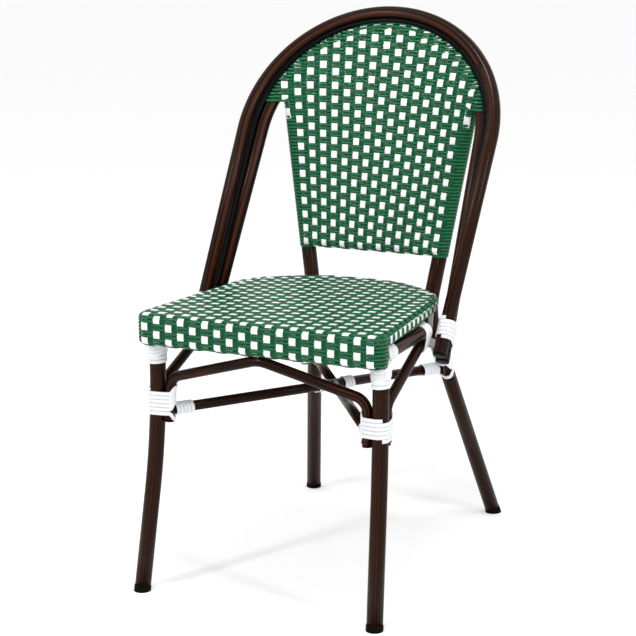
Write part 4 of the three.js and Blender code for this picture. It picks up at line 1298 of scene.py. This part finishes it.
def hem_wrap(start, direction, slant, swing):
    """Places and normals of a strand that goes over the side hem in its own direction."""
    reach = 1 / max(slant, SLANT_LEAST_SHARE)
    out, height, away, up = side_profile.T[:, :, None]
    places = np.concatenate([start + direction * out * reach, height], axis=1)
    normals = unit(np.concatenate([direction * away, up], axis=1))
    return places + normals * swing[:, None], normals


def front_face(x):
    """Places and normals down the seat's front face at a distance from the centre line."""
    places, normals = [], []
    for out, height, away, up in front_profile:
        line = seat_outline(RIM - out)
        front = line[: int(np.argmax(line[:, 0])) + 1]
        at = min(abs(x), front[-1][0] - FRONT_FACE_END_INSET)
        y, next_y = np.interp((at, at + 1), front[:, 0], front[:, 1])
        slope = (next_y - y) * math.copysign(1, x)
        length = math.hypot(slope, 1)
        places.append((math.copysign(at, x), y, height))
        normals.append((away * slope / length, -away / length, up))
    return np.array(places), unit(np.array(normals, float))


def seat_column_x(column, offset, y):
    x = (column + offset) * seat_pitch(y)
    if abs(column) < SEAT_LAST_COLUMN:
        return x
    limit = np.maximum(rim_x(y) - SEAT_LAST_COLUMN_INSET, 0)
    return np.sign(x) * np.minimum(np.abs(x), limit)


def seat_flat_swing(run, column):
    """Swing at a distance from the front rim of the seat's top, negative towards the rear."""
    return flat_swing((run - SEAT_ROW_START) / SEAT_ROW_PITCH, column)


def seat_long_strand(column, offset, half_share):
    """A flat strand of the seat from under its front edge, over the top and the rear hem."""
    x_start = float((column + offset) * seat_pitch(FRONT_RIM_Y))
    ends = [(x_start, FRONT_RIM_Y + way * RIM_SEARCH_REACH) for way in (1, -1)]
    front, _ = rim_crossing(*ends)
    step = SEAT_ROW_PITCH / PLACES_A_ROW
    y = np.arange(front[1] + step / 2, SEAT_STRAND_END_Y, step)
    x = seat_column_x(column, offset, y)
    inside = np.abs(x) < rim_x(y) - RIM_CLEARANCE
    if abs(column) >= SEAT_LAST_COLUMN:
        inside &= y < SEAT_LAST_COLUMN_END_Y
    stop = len(y) if inside.all() else int(np.argmin(inside))
    y, x = y[:stop], x[:stop]
    last = np.array([x[-1], y[-1]])
    way = last - (x[-SEAT_STRAND_AIM_PLACES], y[-SEAT_STRAND_AIM_PLACES])
    way /= np.linalg.norm(way)
    rear, rear_slant = rim_crossing(last, last + way * REAR_SEARCH_REACH)
    swing = seat_flat_swing(FRONT_RIM_Y - y, column)
    top = np.stack([x, y, SEAT_MIDDLE_HEIGHT + swing], -1)
    top_normals = np.tile([0, 0, 1.0], (len(x), 1))
    face, face_normals = front_face(x_start)
    face = face + face_normals * seat_flat_swing(front_runs, column)[:, None]
    over_rear = smooth_share(side_runs, 0, REAR_HEM_RUN)
    rear_swing = swing[-1] * (1 - over_rear) + REAR_HEM_LIFT * over_rear
    hem = hem_wrap(rear, way, rear_slant, rear_swing)
    places, normals = ordered((face, face_normals), (top, top_normals), hem)
    half_width = half_share * seat_pitch(places[:, 1])
    return flat_strand(evened(places), normals, half_width)


def seat_top_cord(y, row):
    """One crosswise strand of the seat's top, round the hem at both sides."""
    right, slant = rim_crossing((0, y), (SIDE_SEARCH_X, y))
    reach = right[0]
    x = np.linspace(-reach, reach, 2 * max(6, int(reach / SEAT_CORD_STEP)) + 1)
    pitch = float(seat_pitch(y))
    # The wave follows the columns, and its last ones are the strands on the sides of the hem
    last = SEAT_LAST_COLUMN
    pair = PAIR_CENTRE_SHARE * pitch
    anchors = [((c + PAIR_CENTRE_SHARE) * pitch, c) for c in range(-last, last + 1)]
    anchors.append((-reach - (SIDE_WHITE_RUN - pair), -last - 1))
    anchors.append((reach + (SIDE_WHITE_RUN + pair), last + 1))
    anchors_x, anchors_c = np.array(sorted(anchors)).T

    def swing_at(u):
        return CORD_SWING * flattened_wave(np.interp(u, anchors_x, anchors_c) + row)

    tail = smooth_share(side_runs - SIDE_WHITE_RUN, *SIDE_TAIL_RUNS)

    def round_side(sign):
        swing = swing_at(sign * (reach + side_runs)) * (1 - tail) + SIDE_TAIL_LIFT * tail
        start, direction = np.array([sign * reach, y]), np.array([sign, 0.0])
        places, normals = hem_wrap(start, direction, slant, swing)
        return places[1:], normals[1:]

    top = np.stack([x, np.full_like(x, y), SEAT_MIDDLE_HEIGHT + swing_at(x)], -1)
    top_normals = np.tile([0, 0, 1.0], (len(x), 1))
    places, normals = ordered(round_side(-1), (top, top_normals), round_side(1))
    return cord(evened(places), normals)


def level_line(line, level):
    """Places and normals of a line that runs at one level of the hem."""
    _, height, away, up = level
    tangents = unit(np.gradient(line, axis=0))
    outward = np.stack([tangents[:, 1], -tangents[:, 0]], -1) * away
    ones = np.ones((len(line), 1))
    places = np.concatenate([line, ones * height], axis=1)
    return places, unit(np.concatenate([outward, ones * up], axis=1))


def seat_front_cord(run, row):
    """A crosswise strand on the seat's front face, round both front corners and in behind."""
    level = interpolated(run, front_runs, front_profile)
    line = seat_outline(RIM - level[0])
    line = line[line[:, 1] < FRONT_CORD_END_Y]
    line = np.concatenate([line, [[line[-1][0] + x, y] for x, y in FRONT_CORD_TAIL]])
    distance = run_lengths(line)
    at = np.linspace(0, distance[-1], int(distance[-1] / FRONT_CORD_STEP) + 1)
    right = interpolated(at, distance, line)
    places, normals = level_line(np.concatenate([(right * [-1, 1])[:0:-1], right]), level)
    x = places[:, 0]
    swing = cord_swing(x / SEAT_COLUMN_PITCH, row)
    outside = sum(
        smooth_share(way - last * SEAT_COLUMN_PITCH, *FRONT_REST_RUN)
        for way, last in zip((x, -x), FRONT_LAST_SHARES)
    )
    swing = swing * (1 - outside) + FRONT_REST_LIFT * outside
    return cord(evened(places + normals * swing[:, None]), normals)


def seat_side_strand(side, drop, half_width):
    """A flat strand along the side of the hem, from behind the front corner to the rear."""
    level = interpolated(SIDE_WHITE_RUN + drop, side_runs, side_profile)
    line = seat_outline(RIM - level[0])
    line = line[(line[:, 1] > SIDE_STRAND_START_Y) & (line[:, 0] > SIDE_STRAND_END_X)]
    distance = run_lengths(line)
    at = np.arange(0, distance[-1], SEAT_ROW_PITCH / PLACES_A_ROW)
    places, normals = level_line(interpolated(at, distance, line), level)
    start = smooth_share(at, *SIDE_STRAND_RISE)
    swing = seat_flat_swing(FRONT_RIM_Y - places[:, 1], SEAT_LAST_COLUMN + 1)
    swing = swing * start + SIDE_STRAND_START_LIFT * (1 - start)
    return flat_strand(*flipped(side, places + normals * swing[:, None], normals), half_width)


def show_seat():
    top_cords, front_cords, whites, greens = [], [], [], []
    rear_y = rim_line[:, 1].max()
    front_y = FRONT_RIM_Y - SEAT_ROW_START
    for row in range(-1, math.floor((front_y - rear_y - 2) / SEAT_ROW_PITCH), -1):
        for half in (-1, 1):
            y = front_y - SEAT_ROW_PITCH * row + half * SEAT_ROW_PITCH / 4
            if y < rear_y - 1:
                top_cords.append(seat_top_cord(y, row))
    for row in range(SEAT_FRONT_ROWS):
        for half in (-1, 1):
            run = SEAT_ROW_START + SEAT_ROW_PITCH * (row + half / 4)
            if run < front_runs[-1]:
                front_cords.append(seat_front_cord(run, row))
    for column in range(-SEAT_LAST_COLUMN, SEAT_LAST_COLUMN + 1):
        whites.append(seat_long_strand(column, 0, WHITE_SHARE))
        if column < SEAT_LAST_COLUMN:
            greens.append(seat_long_strand(column, GREEN_OFFSET_SHARE, GREEN_SHARE))
    drop = GREEN_OFFSET_SHARE * SEAT_COLUMN_PITCH
    for side in (-1, 1):
        whites.append(seat_side_strand(side, 0, WHITE_SHARE * SEAT_COLUMN_PITCH))
        greens.append(seat_side_strand(side, drop, SIDE_GREEN_HALF_WIDTH))
    piece("seat_crosswise_strands", joined(top_cords), green_round_painted_highlight, "weave", "seat_weave")
    piece("seat_front_strands", joined(front_cords), green_round_painted_highlight, "weave")
    piece("seat_white_strands", joined(whites), white, "strand")
    piece("seat_green_strands", joined(greens), green, "weave")


# Bindings: the same belts as in the solids, in finer steps
def crossing_at_rise(route, origin, axis, rise):
    levels = [(place - origin).dot(axis) for place, _ in route]
    sign = 1 if levels[-1] > levels[0] else -1
    passed = next((i for i, v in enumerate(levels) if sign * v > sign * rise), len(levels) - 1)
    high = max(passed, 1)
    run = route[high][0] - route[high - 1][0]
    share = (rise - levels[high - 1]) / (levels[high] - levels[high - 1])
    return along(route[high - 1][0], run, share), run.length / abs(run.dot(axis))


def member_reach(line, sections, away):
    return max((centre - line[0]).dot(away) + radius * slant for centre, slant, radius in sections)


def binding(line, members, facing, turns, start, parting=None):
    """One flat strand wound round its members; it parts above its first loop for a tube."""
    place, axis = line
    ahead = (facing - axis * facing.dot(axis)).normalized()
    sideways = axis.cross(ahead)
    half_step = math.pi / BELT_STEPS

    def toward(angle):
        return ahead * math.cos(angle) + sideways * math.sin(angle)

    def belt_place(sections, rise, angle, cover):
        before, after = (
            member_reach(line, sections, toward(angle + turn)) + cover
            for turn in (-half_step, half_step)
        )
        out = (before + after) / (2 * math.cos(half_step))
        sway = (after - before) / (2 * math.sin(half_step))
        level = along(place, axis, rise)
        return along(along(level, toward(angle), out), toward(angle + math.pi / 2), sway)

    places, outward = [], []
    for i in range(turns * BELT_STEPS + 1):
        angle = math.pi + FULL_TURN * i / BELT_STEPS
        rise = start + STRAND_PITCH / BELT_STEPS * i
        if parting:
            radius, parting_rise = parting
            edge = radius + STRAND_GAP + STRAND_WIDTH / 2 + PARTING_CLEARANCE
            boundary = start + STRAND_PITCH * PARTING_TURNS
            if i < BELT_STEPS:
                shift = min(0, parting_rise - edge - (boundary - STRAND_PITCH))
            else:
                shift = max(0, parting_rise + edge - boundary)
            rise += shift * float(smooth_share(math.cos(angle), *PARTING_BLEND))
        edges = (rise - STRAND_WIDTH / 2, rise, rise + STRAND_WIDTH / 2)
        sections = [
            (*crossing_at_rise(route, place, axis, level), radius)
            for route, radius in members for level in edges
        ]
        inner, outer = (
            belt_place(sections, rise, angle, STRAND_GAP / 2 + cover)
            for cover in (0, STRAND_THICKNESS)
        )
        places.append((inner + outer) / 2)
        outward.append(outer - inner)
    return lashing(np.array(places), unit(np.array(outward)), BINDING_HALF_WIDTH)


def half_route(route, from_start):
    half = math.ceil(len(route) / 2)
    return route[:half] if from_start else route[-half:]


def show_binding(node, *way_round):
    piece(f"{node}_strand", binding(*way_round), lashing_white, "strand", node)


def show_leg_binding(which, name, side, members, turns, reach):
    """A leg's lashing, which also holds braces and parts for the stretcher's end."""
    line = leg_line(members[0][0])
    front, rear = stretcher_ends(-side if which == "front" else side)
    facing = heading(front, rear) if which == "front" else heading(rear, front)
    meeting = along(on_line(line, STRETCHER_HEIGHT), facing, reach)
    parting = (STRETCHER_RADIUS / line[1].z, (meeting - line[0]).dot(line[1]))
    start = -LEG_BINDING_TURNS * STRAND_PITCH / 2
    show_binding(f"binding_{which}_leg_{name}", line, members, facing, turns, start, parting)


def show_stretcher_binding(node, start, end, offset, more=0):
    line = (start, heading(start, end))
    member = ([line, (end, line[1])], STRETCHER_RADIUS)
    first = offset + STRAND_WIDTH / 2 - more * STRAND_PITCH
    turns = STRETCHER_BINDING_TURNS + more
    show_binding(node, line, [member], point(0, 0, 1), turns, first)


def leg_top_crossing(side):
    """The strands that cross from the front leg's lashing over the rail, just behind the hem."""
    leg_x, leg_y = FRONT_LEG_TOP
    leg, rail = CROSSING_LEG_REACH, CROSSING_RAIL_REACH
    rail_x = RAIL_FRONT_HALF_SPACING - CROSSING_RAIL_INSET
    strands = []
    for lean, over_y, low in LEG_TOP_CROSSINGS:
        middle = (leg_y + over_y) / 2
        on_leg = [
            (leg_x + x * leg, leg_y - lean * forward, low + lift, x, -lean * y, 0)
            for x, y, forward, lift in (
                (-1, 0, -2, 14), (-0.8, 0.6, 0.6 * leg, 4), (0, 1, leg, 0),
                (0.8, 0.6, 0.6 * leg, 4), (1, 0, -2, 14),
            )
        ]
        on_rail = [
            (rail_x + x * rail, y, RAIL_HEIGHT + lift, x, 0, z)
            for x, z, y, lift in (
                (1, 0, middle, -4), (0.75, 0.66, over_y, 0.66 * rail), (0, 1, over_y, rail),
                (-0.75, 0.66, over_y, 0.66 * rail), (-1, 0, middle, -4),
            )
        ]
        rows = np.array([on_rail[-1], *on_leg, *on_rail], float)
        shares = np.linspace(0, len(rows) - 1, CROSSING_PLACES)
        smooth = evened(interpolated(shares, range(len(rows)), rows), CROSSING_SMOOTHING)
        strands.append(lashing(*flipped(side, smooth[:, :3], unit(smooth[:, 3:]))))
    return strands


def show_bindings():
    half_rail = len(rail_route) // 2
    rail_halves = {-1: rail_route[:half_rail], 1: rail_route[-half_rail:]}
    centre = stretcher_crossing()
    for name, side in SIDES.items():
        brace = side_brace_route(side)
        members = [
            (front_leg_route(side), LEG_RADIUS),
            (half_route(front_brace_route(), side < 0), BRACE_RADIUS),
            (half_route(brace, True), BRACE_RADIUS),
        ]
        turns = LEG_BINDING_TURNS + (side < 0)
        show_leg_binding("front", name, side, members, turns, 2 * BRACE_RADIUS)
        members = [(rear_leg_route(side), LEG_RADIUS), (half_route(brace, False), BRACE_RADIUS)]
        reach = belt_radius(LEG_RADIUS)
        show_leg_binding("rear", name, side, members, LEG_BINDING_TURNS, reach)
        x, y = FRONT_LEG_TOP
        line = (point(side * x, y, FRONT_HEM_BOTTOM - FIT_GAP), point(0, 0, 1))
        members, turns = [(front_leg_route(side), LEG_RADIUS)], LEG_BINDING_TURNS
        start = -STRAND_WIDTH / 2 - turns * STRAND_PITCH
        show_binding(f"binding_leg_top_{name}", line, members, point(0, -1, 0), turns, start)
        crossing = joined(leg_top_crossing(side))
        piece(f"leg_top_crossing_strands_{name}", crossing, lashing_white, "strand")
        for which, (y, turns) in RAIL_BINDINGS.items():
            line = (point(side * RAIL_HALF_SPACING, y, RAIL_HEIGHT), point(0, 1, 0))
            members = [(rail_halves[side], RAIL_RADIUS), (brace, BRACE_RADIUS)]
            members = members[: 1 + (which == "rear")]
            node = f"binding_rail_{which}_{name}"
            show_binding(node, line, members, point(0, 0, -1), turns, STRAND_WIDTH / 2)
        legs = []
        for arch, height in arches.values():
            low, high = (arch.leg_end(side, height + up) for up in (0, ARCH_LEG_SAMPLE))
            way = heading(low, high)
            legs.append(([(low, way), (high, way)], ARCH_TUBE_RADIUS))
        start = ARCH_BINDING_START + STRAND_WIDTH / 2
        line, turns = legs[0][0][0], ARCH_BINDING_TURNS
        show_binding(f"binding_arch_{name}", line, legs, point(0, 1, 0), turns, start)
        ways = {"front": stretcher_ends(-side), "rear": (stretcher_ends(side)[1], centre)}
        for which, ends in ways.items():
            node = f"binding_stretcher_{which}_{name}"
            show_stretcher_binding(node, *ends, **LEG_STRETCHER_BINDING)
    for which, end in zip(("front", "rear"), stretcher_ends(1)):
        show_stretcher_binding(f"binding_crossing_{which}", centre, end, CROSSING_BINDING_OFFSET)


# Studio
def aimed(obj, location, target):
    obj.location = location
    obj.rotation_mode = "QUATERNION"
    obj.rotation_quaternion = (Vector(target) - Vector(location)).to_track_quat("-Z", "Y")


def add_light(name, location, target, size, power):
    lamp = bpy.data.lights.new(name, "AREA")
    lamp.shape = "RECTANGLE"
    lamp.size, lamp.size_y = size
    lamp.energy = power
    aimed(add_object(name, lamp), location, target)


def show_floor():
    bm = bmesh.new()
    bmesh.ops.create_grid(bm, x_segments=1, y_segments=1, size=40)
    mesh = mesh_from(bm, "floor")
    floor = add_object("floor", mesh)
    floor.location = (0, 0, -0.0002)
    finish, tree = new_finish("pale_floor", roughness=0.9, specular=0.1)
    shader = tree.nodes["Principled BSDF"]
    shader.inputs["Base Color"].default_value = (0.9, 0.9, 0.9, 1)
    shader.inputs["Emission Color"].default_value = (1, 1, 1, 1)
    seen = add_node(tree, "ShaderNodeLightPath").outputs["Is Camera Ray"]
    tree.links.new(product(tree, seen, 0.25), shader.inputs["Emission Strength"])
    mesh.materials.append(finish)


def show_background():
    """A white background for camera, mirror and glass rays, and a dimmer one for the rest."""
    world = bpy.data.worlds.new("studio")
    bpy.context.scene.world = world
    world.use_nodes = True
    tree = world.node_tree
    path = add_node(tree, "ShaderNodeLightPath").outputs
    share = calculated(tree, "MAXIMUM", path["Is Camera Ray"], path["Is Glossy Ray"])
    share = calculated(tree, "MAXIMUM", share, path["Is Transmission Ray"])
    background = tree.nodes["Background"]
    background.inputs["Color"].default_value = (1, 1, 1, 1)
    strength = map_range(tree, share, to_min=0.78, to_max=1.0)
    tree.links.new(strength, background.inputs["Strength"])


def show_studio():
    show_floor()
    show_background()
    add_light("key_light", (-1.2, -2.6, 2.2), (0, 0, 0.45), size=(0.18, 1.0), power=26)
    add_light("right_light", (2.6, -1.0, 1.6), (0, 0, 0.45), size=(0.15, 1.2), power=18)
    add_light("top_light", (0.2, -0.6, 2.9), (0, 0, 0.4), size=(0.7, 0.2), power=20)
    camera = bpy.data.cameras.new("camera")
    camera.lens = 103.68
    camera.sensor_width = 36
    camera.shift_x, camera.shift_y = 0.0009, 0.0018
    camera.clip_start, camera.clip_end = 0.05, 200
    viewer = add_object("camera", camera)
    aimed(viewer, (1.1789, -2.6348, 1.0393), (0, -0.0690, 0.4059))
    bpy.context.scene.camera = viewer
    bpy.context.scene.view_settings.view_transform = "Standard"


show_studio()
show_frame_tubes()
show_filler_strip()
show_plugs_and_glides()
show_back()
show_seat()
show_bindings()
for node in ("seat_ring", "back_bottom_bar"):
    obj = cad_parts[node]
    obj.data.materials.clear()
    obj.data.materials.append(lacquer_plain)
for mesh in straight_tubes.values():
    bpy.data.meshes.remove(mesh)
